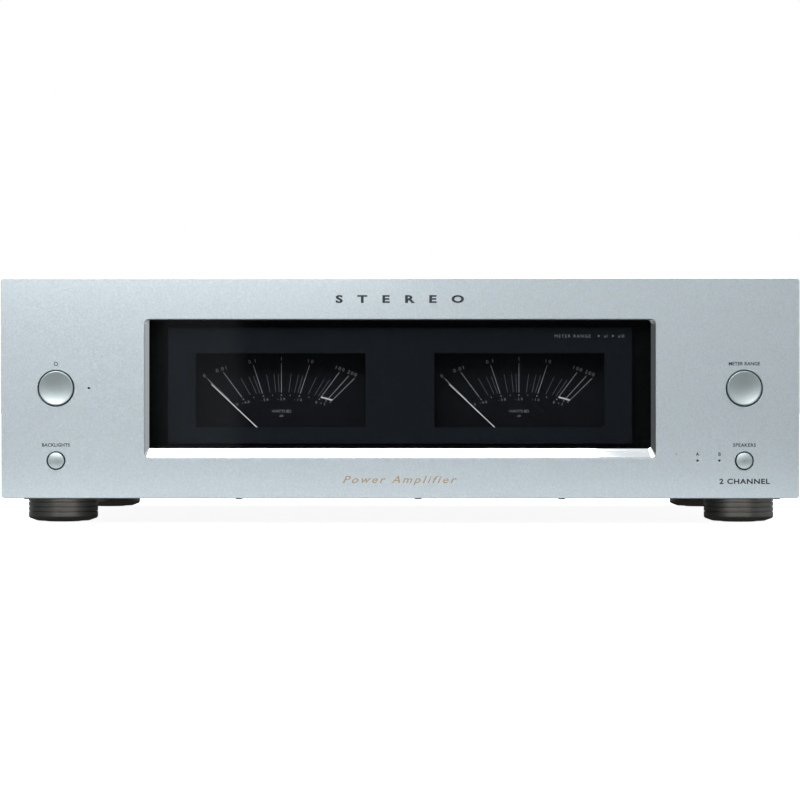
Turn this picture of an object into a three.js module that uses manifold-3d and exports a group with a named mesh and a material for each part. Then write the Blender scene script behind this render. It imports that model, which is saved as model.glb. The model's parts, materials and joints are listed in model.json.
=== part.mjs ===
// A full-width stereo power amplifier with two pointer meters behind one glass window.
// Millimetres, +Z up, +Y towards the back. x is 0 at the middle, z is 0 on the shelf, and
// every y below is measured from the front panel's face. The exported group moves the whole
// object so that y is 0 half-way between the front buttons and the speaker terminals.
import * as THREE from "three";
import { mergeVertices } from "three/addons/utils/BufferGeometryUtils.js";
import Module from "manifold-3d";

const wasm = await Module();
wasm.setup();

// ---------------------------------------------------------------- driving dimensions
const GAP = 0.3; // clearance left between pieces that rest on each other

const PANEL_WIDTH = 435;
const PANEL_HEIGHT = 120;
const PANEL_THICKNESS = 8;
const PANEL_BOTTOM = 14; // the feet lift the panel this far off the shelf
const PANEL_TOP = PANEL_BOTTOM + PANEL_HEIGHT;
const PANEL_CORNER = 1.8;

const REAR_FACE = 355; // the rear panel's outer face
const BUTTON_PROUD = 1.5; // how far the domed buttons stand out of the panel
const TERMINAL_LENGTH = 24; // how far the speaker terminals stand out of the rear panel
const DEPTH = BUTTON_PROUD + REAR_FACE + TERMINAL_LENGTH;

const SHEET = 1.5; // steel of the inner chassis
const COVER_SHEET = 1.2;
const COVER_HALF = 214.5;
const COVER_TOP = PANEL_TOP - 1.5;
const COVER_BOTTOM = 18;
const COVER_FRONT = PANEL_THICKNESS + GAP;
const COVER_BACK = REAR_FACE + 1;
const FLOOR_BOTTOM = 15; // underside of the chassis floor
const FLOOR_TOP = FLOOR_BOTTOM + SHEET;
const FLOOR_HALF = COVER_HALF - COVER_SHEET - GAP;
const FLANGE = { height: 14, front: 14, back: REAR_FACE - 4 }; // turned-up edges of the chassis floor
const UPRIGHT_HALF = 211; // half width of the two upright chassis plates
const UPRIGHT_BOTTOM = FLOOR_TOP + GAP;
const UPRIGHT_TOP = COVER_TOP - COVER_SHEET - GAP;
const INNER_PLATE = 10.3; // front face of the plate behind the front panel

// Window: the opening in the panel, and the glass seen inside the bevelled bezel.
const WINDOW = { half: 139.4, low: 35.9, high: 112, corner: 2.5 };
const VIEW = { half: 136.5, low: 41.5, high: 110.6, corner: 1 };
const BEVEL_DEPTH = 2.6;
const BEZEL_BACK = INNER_PLATE - GAP;
const BEZEL_FLANGE = 3.6;
const GLASS_THICKNESS = 3;
const GLASS_FRONT = BEVEL_DEPTH + GAP;
const MASK_FRONT = GLASS_FRONT + GLASS_THICKNESS + GAP;

// Meters
const METER_X = 65.3;
const METER_OPENING = { half: 46.65, low: 52.8, high: 93.5 };
const PIVOT_Z = 40;
const DRUM_RADIUS = 2.5;
const NEEDLE_LENGTH = 52.8;
const NEEDLE_WIDTH = 0.6;
const NEEDLE_THICKNESS = 0.4;
const TAIL = { length: 6.2, width: 1.8 };
const NEEDLE_REST = THREE.MathUtils.degToRad(46.6); // left of upright, at zero watts
const METER_CASE = { half: 52, low: 31, high: 98, front: INNER_PLATE, back: 38, wall: 1.5 };
const DIAL = { half: 48, low: 44.3, high: 96, front: 17, thickness: 1 };
const MAGNET = { halfWidth: 14, top: 52, boreDepth: 13 };
const NEEDLE_PLANE = 14.4; // y of the pointer's front, clear of the glass and of the dial

// Front controls
const CONTROL_X = 187.6;
const LARGE_Z = PANEL_BOTTOM + PANEL_HEIGHT / 2;
const SMALL_Z = 34.5;
const LARGE_BUTTON = { radius: 9.6, hole: 10.1, rim: -0.8, centre: 0.3, sides: 24 };
const SMALL_BUTTON = { radius: 4.4, hole: 4.9, rim: -0.5, centre: -BUTTON_PROUD, sides: 16 };
const BUTTON_FLANGE = 1.2; // how much wider than its hole a button is behind the panel
const STEM = { radius: 2.2, end: 15.2, hole: 4 }; // the stem that presses the switch behind a button
const SWITCH_BOARD = { front: 20, thickness: 1.6, low: 22, high: 88 };
const SWITCH = { half: 3, front: 17.2, plunger: 1.7, reach: 16.3 }; // reach leaves 1.1 mm of travel
const LED_RADIUS = 0.65;
const LED_HOLE = 0.85;
const LED_CLEARANCE = 1.5; // radius of the hole for it in the chassis
const LEDS = {
  power_led: [-169.7, LARGE_Z],
  speaker_led_a: [162.1, SMALL_Z],
  speaker_led_b: [174.1, SMALL_Z],
};

// Feet
const FOOT = {
  x: 188.5, front: 45, back: REAR_FACE - 45,
  radius: 19.3, low: 1.2, top: FLOOR_BOTTOM - GAP,
  screwHole: 2.3, counterbore: 6, // the fixing screw's hole, and how high its head's recess reaches
};
const FOOT_PAD = { radius: 10.2, hole: 4, top: 2.2 };

// Rear connectors
const POST_X = [94, 118, 142, 166]; // distance of each channel's speaker terminals from the middle
const POST_Z = 46;
const POST_RADIUS = 3.6;
const POST_COLLAR = 5.2; // insulating collar through the rear panel
const POST_END = 17; // how far a post stands out of the rear panel
const PLUG_HOLE = { radius: 2.1, depth: 16 }; // for a 4 mm plug
const CAP_RADIUS = 7.6;
const BLOCK = { overhang: 12, halfHeight: 13, thickness: 3 };
const INLET_Z = 46;
const INPUT_Z = 98;
const XLR_X = 150;
const RCA_X = 115;
const SELECTOR_X = 55;
const INLET = {
  halfWidth: 12, halfHeight: 7.75, depth: 16, wall: 2, floor: 6,
  flangeHalf: 25, flangeHeight: 12, flange: 2.5, corner: 5,
};
const BLADE = { thickness: 2, height: 4, spacing: 7, drop: 2, recess: 2 };
const XLR_SOCKET = {
  flangeHalf: 13, flangeTall: 15.5, flange: 2, lip: 1.5,
  body: 11.6, bore: 9.4, boreDepth: 12, depth: 22,
  insert: 7, pin: 1.2, pinCircle: 3.9, pinDepth: 10,
};
const PHONO = { body: 5, nut: 6.5, nutEnd: 2.5, barrel: 4.15, hole: 1.7, length: 11, depth: 14 };
const SELECTOR = {
  halfWidth: 11, halfHeight: 6, bezelEnd: 1.5, trackHalf: 5, trackHalfHeight: 2.3, trackDepth: 5,
  wall: 1.6, wallTall: 1.3, depth: 9, lever: 4, proud: 5,
};

// Inside
const TRANSFORMER = { y: 110, radius: 62, bore: 20, low: FLOOR_TOP + GAP, height: 58 };
const SUPPLY_BOARD = { half: 88, front: 198, back: 304, low: 26, thickness: 1.6 };
const CAPACITOR = { x: 44, y: 250, radius: 31, height: 82 };
const CLAMP = { hole: 4.6, rim: 34, rimHeight: 1.5, crown: 16, height: 4 };
const SINK = {
  inner: 172, base: 6, outer: 207, front: 60, back: 326, low: 20, high: 118, fins: 19, fin: 2.4,
};
const AMP_BOARD = { inner: 165, thickness: 1.6, front: 84, back: 300, low: 24, high: 112 };
const TRANSISTOR = { count: 4, first: 30, pitch: 46, width: 16, low: 84, high: 104 };
const DRIVER = { width: 10, proud: 10, low: 56, high: 66 }; // beside each power transistor
const RELAY = { width: 24, proud: 16, low: 32, high: 48, inset: 20 }; // near each end of the board
const COOLING_SLOT = { inner: 150, outer: 200, width: 4, pitch: 12, first: 66, count: 22 };

// ---------------------------------------------------------------- materials
const finish = (color, roughness, metalness) =>
  new THREE.MeshStandardMaterial({ color, roughness, metalness });
const MATERIALS = {
  panel: finish(0xc3cbd0, 0.45, 0.9),
  polished: finish(0xdfe3e6, 0.12, 1),
  glass: finish(0x0b0d10, 0.05, 0),
  blackPlastic: finish(0x17181a, 0.6, 0),
  dial: finish(0x1d1f22, 0.7, 0),
  needle: finish(0xd8dadb, 0.4, 0.2),
  footMetal: finish(0x4d4b47, 0.4, 0.9),
  rubber: finish(0x111111, 0.9, 0),
  cover: finish(0xb4babd, 0.5, 0.7),
  steel: finish(0xa9adb0, 0.4, 1),
  rear: finish(0x1b1c1e, 0.6, 0.3),
  board: finish(0x1f5b33, 0.6, 0),
  led: finish(0x3a3d40, 0.3, 0),
  winding: finish(0x8a5a2b, 0.6, 0),
  sleeve: finish(0x1c2a4a, 0.35, 0),
  sink: finish(0x26282a, 0.5, 0.8),
  plated: finish(0xc9a24a, 0.25, 1),
  red: finish(0xa3161a, 0.3, 0),
};

// ---------------------------------------------------------------- shape helpers
const circle = (x, y, radius, sides) =>
  Array.from({ length: sides }, (_, i) => {
    const turn = (2 * Math.PI * (i + 0.5)) / sides;
    return new THREE.Vector2(x + radius * Math.cos(turn), y + radius * Math.sin(turn));
  });

// A rectangle with round corners, anticlockwise, with the same number of points whatever its radius.
function roundedRectangle(left, right, low, high, radius, steps = 5) {
  const corners = [
    [right - radius, high - radius],
    [left + radius, high - radius],
    [left + radius, low + radius],
    [right - radius, low + radius],
  ];
  return corners.flatMap(([x, y], quarter) =>
    Array.from({ length: steps + 1 }, (_, i) => {
      const turn = (Math.PI / 2) * (quarter + i / steps);
      return new THREE.Vector2(x + radius * Math.cos(turn), y + radius * Math.sin(turn));
    }),
  );
}

const around = (x, z, half, tall) => rectangle(x - half, x + half, z - tall, z + tall);
const rectangle = (left, right, low, high) => [
  new THREE.Vector2(left, low),
  new THREE.Vector2(right, low),
  new THREE.Vector2(right, high),
  new THREE.Vector2(left, high),
];

const extruded = (outline, length) =>
  new THREE.ExtrudeGeometry(new THREE.Shape(outline), { depth: length, bevelEnabled: false });

// An outline in the x-z plane made solid from one y to another, with any holes cut right through.
function plateAcross(outline, holes, front, back) {
  const solid = (points, from, to) =>
    extruded(points, to - from).rotateX(Math.PI / 2).translate(0, to, 0);
  const plate = solid(outline, front, back);
  if (!holes.length) return plate;
  return combined([plate], holes.map((points) => solid(points, front - 1, back + 1)));
}

// An outline in the x-y plane made solid from one z to another.
const plateLevel = (outline, low, high) => extruded(outline, high - low).translate(0, 0, low);

const block = (left, right, front, back, low, high) =>
  new THREE.BoxGeometry(right - left, back - front, high - low).translate(
    (left + right) / 2,
    (front + back) / 2,
    (low + high) / 2,
  );

// A round piece about the y axis, from [radius, y] points.
function turnedAcross(profile, sides) {
  const points = profile.map(([radius, y]) => new THREE.Vector2(radius, y));
  return new THREE.LatheGeometry(points, sides);
}

// A round piece about the z axis, from [radius, z] points.
const turnedUpright = (profile, sides) => turnedAcross(profile, sides).rotateX(Math.PI / 2);

const rodProfile = (radius, start, end) => [
  [0, start],
  [radius, start],
  [radius, end],
  [0, end],
];
const rodAcross = (x, z, radius, front, back, sides) =>
  turnedAcross(rodProfile(radius, front, back), sides).translate(x, 0, z);
const rodUpright = (x, y, radius, low, high, sides) =>
  turnedUpright(rodProfile(radius, low, high), sides).translate(x, y, 0);

// A closed ring skinned over outlines of equal length, each at its own y, the last joined to the first.
function ringOver(loops) {
  const count = loops[0].outline.length;
  const positions = loops.flatMap(({ outline, y }) => outline.flatMap((p) => [p.x, y, p.y]));
  const index = [];
  loops.forEach((_, loop) => {
    const here = loop * count;
    const next = ((loop + 1) % loops.length) * count;
    for (let i = 0; i < count; i++) {
      const j = (i + 1) % count;
      index.push(here + i, here + j, next + i, here + j, next + j, next + i);
    }
  });
  const geometry = new THREE.BufferGeometry();
  geometry.setAttribute("position", new THREE.Float32BufferAttribute(positions, 3));
  geometry.setIndex(index);
  return geometry;
}

// ---------------------------------------------------------------- joining and cutting
function toSolid(geometry) {
  const bare = new THREE.BufferGeometry();
  const flat = geometry.index ? geometry.toNonIndexed() : geometry;
  bare.setAttribute("position", flat.getAttribute("position"));
  const merged = mergeVertices(bare, 1e-3);
  return new wasm.Manifold(
    new wasm.Mesh({
      numProp: 3,
      vertProperties: merged.attributes.position.array,
      triVerts: new Uint32Array(merged.index.array),
    }),
  );
}

function toGeometry(solid) {
  const made = solid.getMesh();
  const geometry = new THREE.BufferGeometry();
  geometry.setAttribute("position", new THREE.BufferAttribute(made.vertProperties, 3));
  geometry.setIndex(new THREE.BufferAttribute(made.triVerts, 1));
  return geometry;
}

// The pieces in solids joined into one, less the pieces in cuts.
function combined(solids, cuts = []) {
  const joined = solids.map(toSolid).reduce((all, one) => all.add(one));
  return toGeometry(cuts.map(toSolid).reduce((rest, cut) => rest.subtract(cut), joined));
}

// ---------------------------------------------------------------- the assembly
const amplifier = new THREE.Group();
amplifier.position.y = BUTTON_PROUD - DEPTH / 2;

function add(name, geometry, material) {
  const mesh = new THREE.Mesh(geometry, material);
  mesh.name = name;
  amplifier.add(mesh);
}

const SIDES = [
  ["left", -1],
  ["right", 1],
];
const inOrder = (a, b) => [Math.min(a, b), Math.max(a, b)];

// ---- front panel, bezel, glass and mask
function addFrontPanel() {
  const half = PANEL_WIDTH / 2;
  const outline = roundedRectangle(-half, half, PANEL_BOTTOM, PANEL_TOP, PANEL_CORNER);
  const holes = [roundedRectangle(-WINDOW.half, WINDOW.half, WINDOW.low, WINDOW.high, WINDOW.corner)];
  for (const [, side] of SIDES) {
    holes.push(circle(side * CONTROL_X, LARGE_Z, LARGE_BUTTON.hole, LARGE_BUTTON.sides));
    holes.push(circle(side * CONTROL_X, SMALL_Z, SMALL_BUTTON.hole, SMALL_BUTTON.sides));
  }
  for (const [x, z] of Object.values(LEDS)) holes.push(circle(x, z, LED_HOLE, 8));
  add("front_panel", plateAcross(outline, holes, 0, PANEL_THICKNESS), MATERIALS.panel);
}

// A polished frame: a narrow bevel above, wider ones at the sides and a broad sill below,
// with a flange behind the panel.
function addWindowBezel() {
  const { half, low, high, corner } = WINDOW;
  const outer = roundedRectangle(-half + GAP, half - GAP, low + GAP, high - GAP, corner - GAP);
  const inner = roundedRectangle(-VIEW.half, VIEW.half, VIEW.low, VIEW.high, VIEW.corner);
  const reach = BEZEL_FLANGE;
  const flange = roundedRectangle(-half - reach, half + reach, low - reach, high + reach, corner + reach);
  const geometry = ringOver([
    { outline: outer, y: 0 },
    { outline: inner, y: BEVEL_DEPTH },
    { outline: inner, y: BEZEL_BACK },
    { outline: flange, y: BEZEL_BACK },
    { outline: flange, y: PANEL_THICKNESS + GAP },
    { outline: outer, y: PANEL_THICKNESS + GAP },
  ]);
  add("window_bezel", geometry, MATERIALS.polished);
}

function windowOutline() {
  const { half, low, high, corner } = VIEW;
  return roundedRectangle(-half + GAP, half - GAP, low + GAP, high - GAP, corner, 3);
}

function addWindowGlass() {
  const geometry = plateAcross(windowOutline(), [], GLASS_FRONT, GLASS_FRONT + GLASS_THICKNESS);
  add("window_glass", geometry, MATERIALS.glass);
}

function addMeterMask() {
  const { half, low, high } = METER_OPENING;
  const plate = plateAcross(windowOutline(), [], MASK_FRONT, BEZEL_BACK);
  const openings = SIDES.map(([, side]) => {
    const x = side * METER_X;
    return block(x - half, x + half, MASK_FRONT - 1, BEZEL_BACK + 1, low, high);
  });
  add("meter_mask", combined([plate], openings), MATERIALS.blackPlastic);
}

// ---- the two meters
function addMeter(name, side) {
  const x = side * METER_X;
  const { half, low, high, front, back, wall } = METER_CASE;
  const shell = block(x - half, x + half, front, back, low, high);
  const inside = block(x - half + wall, x + half - wall, front - 1, back - wall, low + wall, high - wall);
  add(`meter_case_${name}`, combined([shell], [inside]), MATERIALS.blackPlastic);

  const dialBack = DIAL.front + DIAL.thickness;
  const plate = block(x - DIAL.half, x + DIAL.half, DIAL.front, dialBack, DIAL.low, DIAL.high);
  add(`dial_${name}`, plate, MATERIALS.dial);

  const { halfWidth, top, boreDepth } = MAGNET;
  const magnetBack = back - wall - GAP;
  const magnet = block(x - halfWidth, x + halfWidth, dialBack + GAP, magnetBack, low + wall + GAP, top);
  const drumBore = rodAcross(x, PIVOT_Z, DRUM_RADIUS + 0.7, dialBack, dialBack + boreDepth, 12);
  add(`meter_movement_${name}`, combined([magnet], [drumBore]), MATERIALS.steel);

  const armBack = NEEDLE_PLANE + NEEDLE_THICKNESS;
  const arm = block(-NEEDLE_WIDTH / 2, NEEDLE_WIDTH / 2, NEEDLE_PLANE, armBack, 0, NEEDLE_LENGTH);
  const tail = block(-TAIL.width / 2, TAIL.width / 2, NEEDLE_PLANE, armBack, -TAIL.length, 0);
  const drum = rodAcross(0, 0, DRUM_RADIUS, NEEDLE_PLANE - 0.6, dialBack + boreDepth - 2, 12);
  const pointer = combined([arm, tail, drum]).rotateY(-NEEDLE_REST).translate(x, 0, PIVOT_Z);
  add(`needle_${name}`, pointer, MATERIALS.needle);
}

// ---- front controls
// Round caps on a stem, held in by a flange behind the panel. Large caps are dished, small ones domed.
function addButton(name, x, z, size) {
  const { radius, hole, rim, centre, sides } = size;
  const flangeFront = PANEL_THICKNESS + GAP;
  const face = [0, 0.35, 0.7, 0.93].map((share) => [share * radius, centre + (rim - centre) * share ** 2]);
  const body = [
    [radius, rim + 0.35],
    [radius, flangeFront],
    [hole + BUTTON_FLANGE, flangeFront],
    [hole + BUTTON_FLANGE, flangeFront + 0.7],
    [STEM.radius, flangeFront + 0.7],
    [STEM.radius, STEM.end],
    [0, STEM.end],
  ];
  add(name, turnedAcross([...face, ...body], sides).translate(x, 0, z), MATERIALS.panel);
}

// A printed board with a square push switch behind each of its side's two buttons.
function addSwitchBoard(name, side, inner, outer) {
  const { front, thickness, low, high } = SWITCH_BOARD;
  const [left, right] = inOrder(side * inner, side * outer);
  const pieces = [block(left, right, front, front + thickness, low, high)];
  const { half } = SWITCH;
  for (const z of [SMALL_Z, LARGE_Z]) {
    const x = side * CONTROL_X;
    pieces.push(block(x - half, x + half, SWITCH.front, front + 0.5, z - half, z + half));
    pieces.push(rodAcross(x, z, SWITCH.plunger, SWITCH.reach, SWITCH.front + 1, 10));
  }
  add(name, combined(pieces), MATERIALS.board);
}

function addControls() {
  addButton("power_button", -CONTROL_X, LARGE_Z, LARGE_BUTTON);
  addButton("backlight_button", -CONTROL_X, SMALL_Z, SMALL_BUTTON);
  addButton("meter_range_button", CONTROL_X, LARGE_Z, LARGE_BUTTON);
  addButton("speaker_button", CONTROL_X, SMALL_Z, SMALL_BUTTON);
  addSwitchBoard("switch_board_left", -1, 163, 205);
  addSwitchBoard("switch_board_right", 1, 156, 205);
  for (const [name, [x, z]] of Object.entries(LEDS))
    add(name, rodAcross(x, z, LED_RADIUS, 0.2, SWITCH_BOARD.front - GAP, 8), MATERIALS.led);
}

// ---- chassis
function addChassis() {
  const floor = block(-FLOOR_HALF, FLOOR_HALF, INNER_PLATE, REAR_FACE, FLOOR_BOTTOM, FLOOR_TOP);
  const flanges = SIDES.map(([, side]) => {
    const [left, right] = inOrder(side * FLOOR_HALF, side * (FLOOR_HALF - SHEET));
    return block(left, right, FLANGE.front, FLANGE.back, FLOOR_BOTTOM, FLOOR_TOP + FLANGE.height);
  });
  add("bottom_plate", combined([floor, ...flanges]), MATERIALS.steel);

  const upright = rectangle(-UPRIGHT_HALF, UPRIGHT_HALF, UPRIGHT_BOTTOM, UPRIGHT_TOP);
  const openings = SIDES.flatMap(([, side]) => {
    const { half, low, high } = METER_CASE;
    const x = side * METER_X;
    return [
      rectangle(x - half - 0.5, x + half + 0.5, low - 0.5, high + 0.5),
      circle(side * CONTROL_X, LARGE_Z, STEM.hole, 10),
      circle(side * CONTROL_X, SMALL_Z, STEM.hole, 10),
    ];
  });
  for (const [x, z] of Object.values(LEDS)) openings.push(circle(x, z, LED_CLEARANCE, 8));
  const plate = plateAcross(upright, openings, INNER_PLATE, INNER_PLATE + SHEET);
  add("front_chassis_plate", plate, MATERIALS.steel);
}

// One folded sheet over the top and both sides, with a row of cooling slots over each heat sink.
function addTopCover() {
  const fold = (half, top, radius) => [
    ...[0, 1, 2].map((i) => arcPoint(half - radius, top - radius, radius, (i * Math.PI) / 4)),
    ...[2, 3, 4].map((i) => arcPoint(-half + radius, top - radius, radius, (i * Math.PI) / 4)),
  ];
  const arcPoint = (x, z, radius, turn) =>
    new THREE.Vector2(x + radius * Math.cos(turn), z + radius * Math.sin(turn));
  const innerHalf = COVER_HALF - COVER_SHEET;
  const outline = [
    new THREE.Vector2(COVER_HALF, COVER_BOTTOM),
    ...fold(COVER_HALF, COVER_TOP, 2.4),
    new THREE.Vector2(-COVER_HALF, COVER_BOTTOM),
    new THREE.Vector2(-innerHalf, COVER_BOTTOM),
    ...fold(innerHalf, COVER_TOP - COVER_SHEET, 1.2).reverse(),
    new THREE.Vector2(innerHalf, COVER_BOTTOM),
  ];
  const sheet = plateAcross(outline, [], COVER_FRONT, COVER_BACK);
  const { inner, outer, width, pitch, first, count } = COOLING_SLOT;
  const cuts = [];
  for (const [, side] of SIDES) {
    const [left, right] = inOrder(side * inner, side * outer);
    for (let i = 0; i < count; i++) {
      const y = first + i * pitch;
      cuts.push(block(left, right, y, y + width, COVER_TOP - 3, COVER_TOP + 1));
    }
  }
  add("top_cover", combined([sheet], cuts), MATERIALS.cover);
}

// ---- feet: a turned metal shell with a rubber ring let into its underside
function addFoot(name, x, y) {
  const { radius, low, top, screwHole, counterbore } = FOOT;
  const recess = FOOT_PAD.radius + GAP;
  const shell = [
    [screwHole, top],
    [screwHole, counterbore],
    [FOOT_PAD.hole, counterbore],
    [FOOT_PAD.hole, FOOT_PAD.top + GAP],
    [recess, FOOT_PAD.top + GAP],
    [recess, low],
    [radius * 0.76, low],
    [radius * 0.93, low + 0.9],
    [radius, low + 2.6],
    [radius, top],
    [screwHole, top],
  ];
  const pad = [
    [FOOT_PAD.hole, 0],
    [FOOT_PAD.radius, 0],
    [FOOT_PAD.radius, FOOT_PAD.top],
    [FOOT_PAD.hole, FOOT_PAD.top],
    [FOOT_PAD.hole, 0],
  ];
  add(`foot_${name}`, turnedUpright(shell, 24).translate(x, y, 0), MATERIALS.footMetal);
  add(`foot_pad_${name}`, turnedUpright(pad, 16).translate(x, y, 0), MATERIALS.rubber);
}

// ---- power supply
function addPowerSupply() {
  const { y, radius, bore, low, height } = TRANSFORMER;
  const soft = 9; // the wound edge is well rounded
  const core = [
    [bore, low + soft / 2],
    [bore + soft / 2, low],
    [radius - soft, low],
    [radius - soft * 0.3, low + soft * 0.3],
    [radius, low + soft],
    [radius, low + height - soft],
    [radius - soft * 0.3, low + height - soft * 0.3],
    [radius - soft, low + height],
    [bore + soft / 2, low + height],
    [bore, low + height - soft / 2],
    [bore, low + soft / 2],
  ];
  add("transformer", turnedUpright(core, 24).translate(0, y, 0), MATERIALS.winding);

  const top = low + height + GAP;
  const clamp = [
    [CLAMP.hole, top],
    [CLAMP.rim, top],
    [CLAMP.rim, top + CLAMP.rimHeight],
    [CLAMP.crown, top + CLAMP.height],
    [CLAMP.hole, top + CLAMP.height],
    [CLAMP.hole, top],
  ];
  add("transformer_clamp", turnedUpright(clamp, 16).translate(0, y, 0), MATERIALS.steel);
  const head = top + CLAMP.height + GAP;
  const shank = rodUpright(0, y, 4, low, head + 1, 12);
  add("transformer_bolt", combined([shank, rodUpright(0, y, 7.5, head, head + 5.3, 6)]), MATERIALS.steel);

  const board = SUPPLY_BOARD;
  const boardTop = board.low + board.thickness;
  const pieces = [block(-board.half, board.half, board.front, board.back, board.low, boardTop)];
  for (const [left, right, front, back, high] of [
    [-12, 12, 206, 212, 46], // bridge rectifier
    [-86, -67, 202, 226, 44], // speaker relay
    [67, 86, 202, 226, 44], // speaker relay
    [-10, 10, 288, 300, 38], // connector
  ])
    pieces.push(block(left, right, front, back, board.low + 0.5, high));
  for (const x of [-board.half + 6, board.half - 6])
    for (const back of [board.front + 6, board.back - 6])
      pieces.push(rodUpright(x, back, 3, FLOOR_TOP + GAP, board.low + 0.5, 8));
  add("power_supply_board", combined(pieces), MATERIALS.board);

  for (const [name, side] of SIDES) {
    const can = CAPACITOR;
    const from = boardTop + GAP;
    const profile = [
      [0, from],
      [can.radius - 1.5, from],
      [can.radius, from + 1.5],
      [can.radius, from + can.height - 2],
      [can.radius - 2, from + can.height],
      [can.radius - 4, from + can.height - 1],
      [0, from + can.height - 1],
    ];
    const geometry = turnedUpright(profile, 24).translate(side * can.x, can.y, 0);
    add(`capacitor_${name}`, geometry, MATERIALS.sleeve);
  }
}

// ---- amplifier channels: a finned heat sink at each side with its board screwed to it
function addChannel(name, side) {
  const { inner, base, outer, front, back, low, high, fins, fin } = SINK;
  const pitch = (back - front - fin) / (fins - 1);
  const comb = [new THREE.Vector2(inner, front)];
  for (let i = 0; i < fins; i++) {
    const y = front + i * pitch;
    comb.push(new THREE.Vector2(outer, y), new THREE.Vector2(outer, y + fin));
    if (i < fins - 1)
      comb.push(new THREE.Vector2(inner + base, y + fin), new THREE.Vector2(inner + base, y + pitch));
  }
  comb.push(new THREE.Vector2(inner, back));
  const sink = plateLevel(comb, low, high);
  const board = AMP_BOARD;
  const face = board.inner + board.thickness;
  const pieces = [block(board.inner, face, board.front, board.back, board.low, board.high)];
  const onBoard = ({ width, proud, low: from, high: to }, y) =>
    block(board.inner - proud, board.inner + 0.5, y, y + width, from, to);
  for (let i = 0; i < TRANSISTOR.count; i++) {
    const y = board.front + TRANSISTOR.first + i * TRANSISTOR.pitch;
    pieces.push(block(face - 0.5, inner - GAP, y, y + TRANSISTOR.width, TRANSISTOR.low, TRANSISTOR.high));
    pieces.push(onBoard(DRIVER, y + 4));
  }
  pieces.push(onBoard(RELAY, board.front + RELAY.inset));
  pieces.push(onBoard(RELAY, board.back - RELAY.inset - RELAY.width));
  // The left channel is the right one turned half round, so that no mesh has to be mirrored.
  const turned = (geometry) =>
    side > 0 ? geometry : geometry.rotateZ(Math.PI).translate(0, front + back, 0);
  add(`heatsink_${name}`, turned(sink), MATERIALS.sink);
  add(`amplifier_board_${name}`, turned(combined(pieces)), MATERIALS.board);
}

// ---- rear panel and connectors
function addRearPanel() {
  const outline = rectangle(-UPRIGHT_HALF, UPRIGHT_HALF, UPRIGHT_BOTTOM, UPRIGHT_TOP);
  const holes = [
    around(0, INLET_Z, INLET.halfWidth + INLET.wall, INLET.halfHeight + INLET.wall + GAP),
    around(SELECTOR_X, INPUT_Z, SELECTOR.trackHalf + 2, SELECTOR.trackHalfHeight + 1.7),
  ];
  for (const [, side] of SIDES) {
    for (const x of POST_X) holes.push(circle(side * x, POST_Z, POST_COLLAR + 0.4, 12));
    holes.push(circle(side * XLR_X, INPUT_Z, XLR_SOCKET.body + 0.5, 16));
    holes.push(circle(side * RCA_X, INPUT_Z, PHONO.body + 0.4, 12));
  }
  add("rear_panel", plateAcross(outline, holes, REAR_FACE - SHEET, REAR_FACE), MATERIALS.rear);
}

// A three-blade mains inlet, sunk through the rear panel and held by its flange.
function addMainsInlet() {
  const { halfWidth, halfHeight, depth, wall, floor, flangeHalf, flangeHeight, flange, corner } = INLET;
  const front = REAR_FACE + GAP;
  const face = front + flange;
  const [low, high] = [INLET_Z - flangeHeight, INLET_Z + flangeHeight];
  const plate = roundedRectangle(-flangeHalf, flangeHalf, low, high, corner, 3);
  const centred = (half, y0, y1, tall) => block(-half, half, y0, y1, INLET_Z - tall, INLET_Z + tall);
  const body = centred(halfWidth + wall - GAP, face - depth - floor, front + 1, halfHeight + wall);
  const cavity = centred(halfWidth, face - depth, face + 1, halfHeight);
  const shell = combined([plateAcross(plate, [], front, face), body], [cavity]);
  const blade = (x, z) => {
    const [across, up] = [BLADE.thickness / 2, BLADE.height / 2];
    return block(x - across, x + across, face - depth - 1, face - BLADE.recess, z - up, z + up);
  };
  const outer = [-BLADE.spacing, BLADE.spacing].map((x) => blade(x, INLET_Z - BLADE.drop));
  const blades = [blade(0, INLET_Z + BLADE.drop), ...outer];
  add("mains_inlet", combined([shell, ...blades]), MATERIALS.blackPlastic);
}

// A three-pin balanced input: a square flange, a round socket wall and an insert with three holes.
function addBalancedInput(name, x) {
  const { flangeHalf, flangeTall, flange, lip, body, bore, boreDepth, depth } = XLR_SOCKET;
  const { insert, pin, pinCircle, pinDepth } = XLR_SOCKET;
  const front = REAR_FACE + GAP;
  const face = front + flange;
  const [low, high] = [INPUT_Z - flangeTall, INPUT_Z + flangeTall];
  const outline = roundedRectangle(x - flangeHalf, x + flangeHalf, low, high, 3, 2);
  const profile = [
    [0, REAR_FACE - depth],
    [body, REAR_FACE - depth],
    [body, face + lip],
    [bore, face + lip],
    [bore, REAR_FACE - boreDepth],
    [insert, REAR_FACE - boreDepth],
    [insert, face + 0.5],
    [0, face + 0.5],
  ];
  const socket = turnedAcross(profile, 16).translate(x, 0, INPUT_Z);
  const window = rodAcross(x, INPUT_Z, bore + 1, REAR_FACE, face + 1, 16);
  const plate = combined([plateAcross(outline, [], front, face)], [window]);
  const pinHoles = [-0.6, 0, 0.6].map((share) => {
    const turn = Math.PI * share;
    const pinX = x + pinCircle * Math.sin(turn);
    const pinZ = INPUT_Z - pinCircle * Math.cos(turn);
    return rodAcross(pinX, pinZ, pin, REAR_FACE - pinDepth, face + 2, 6);
  });
  add(`balanced_input_${name}`, combined([plate, socket], pinHoles), MATERIALS.steel);
}

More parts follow.
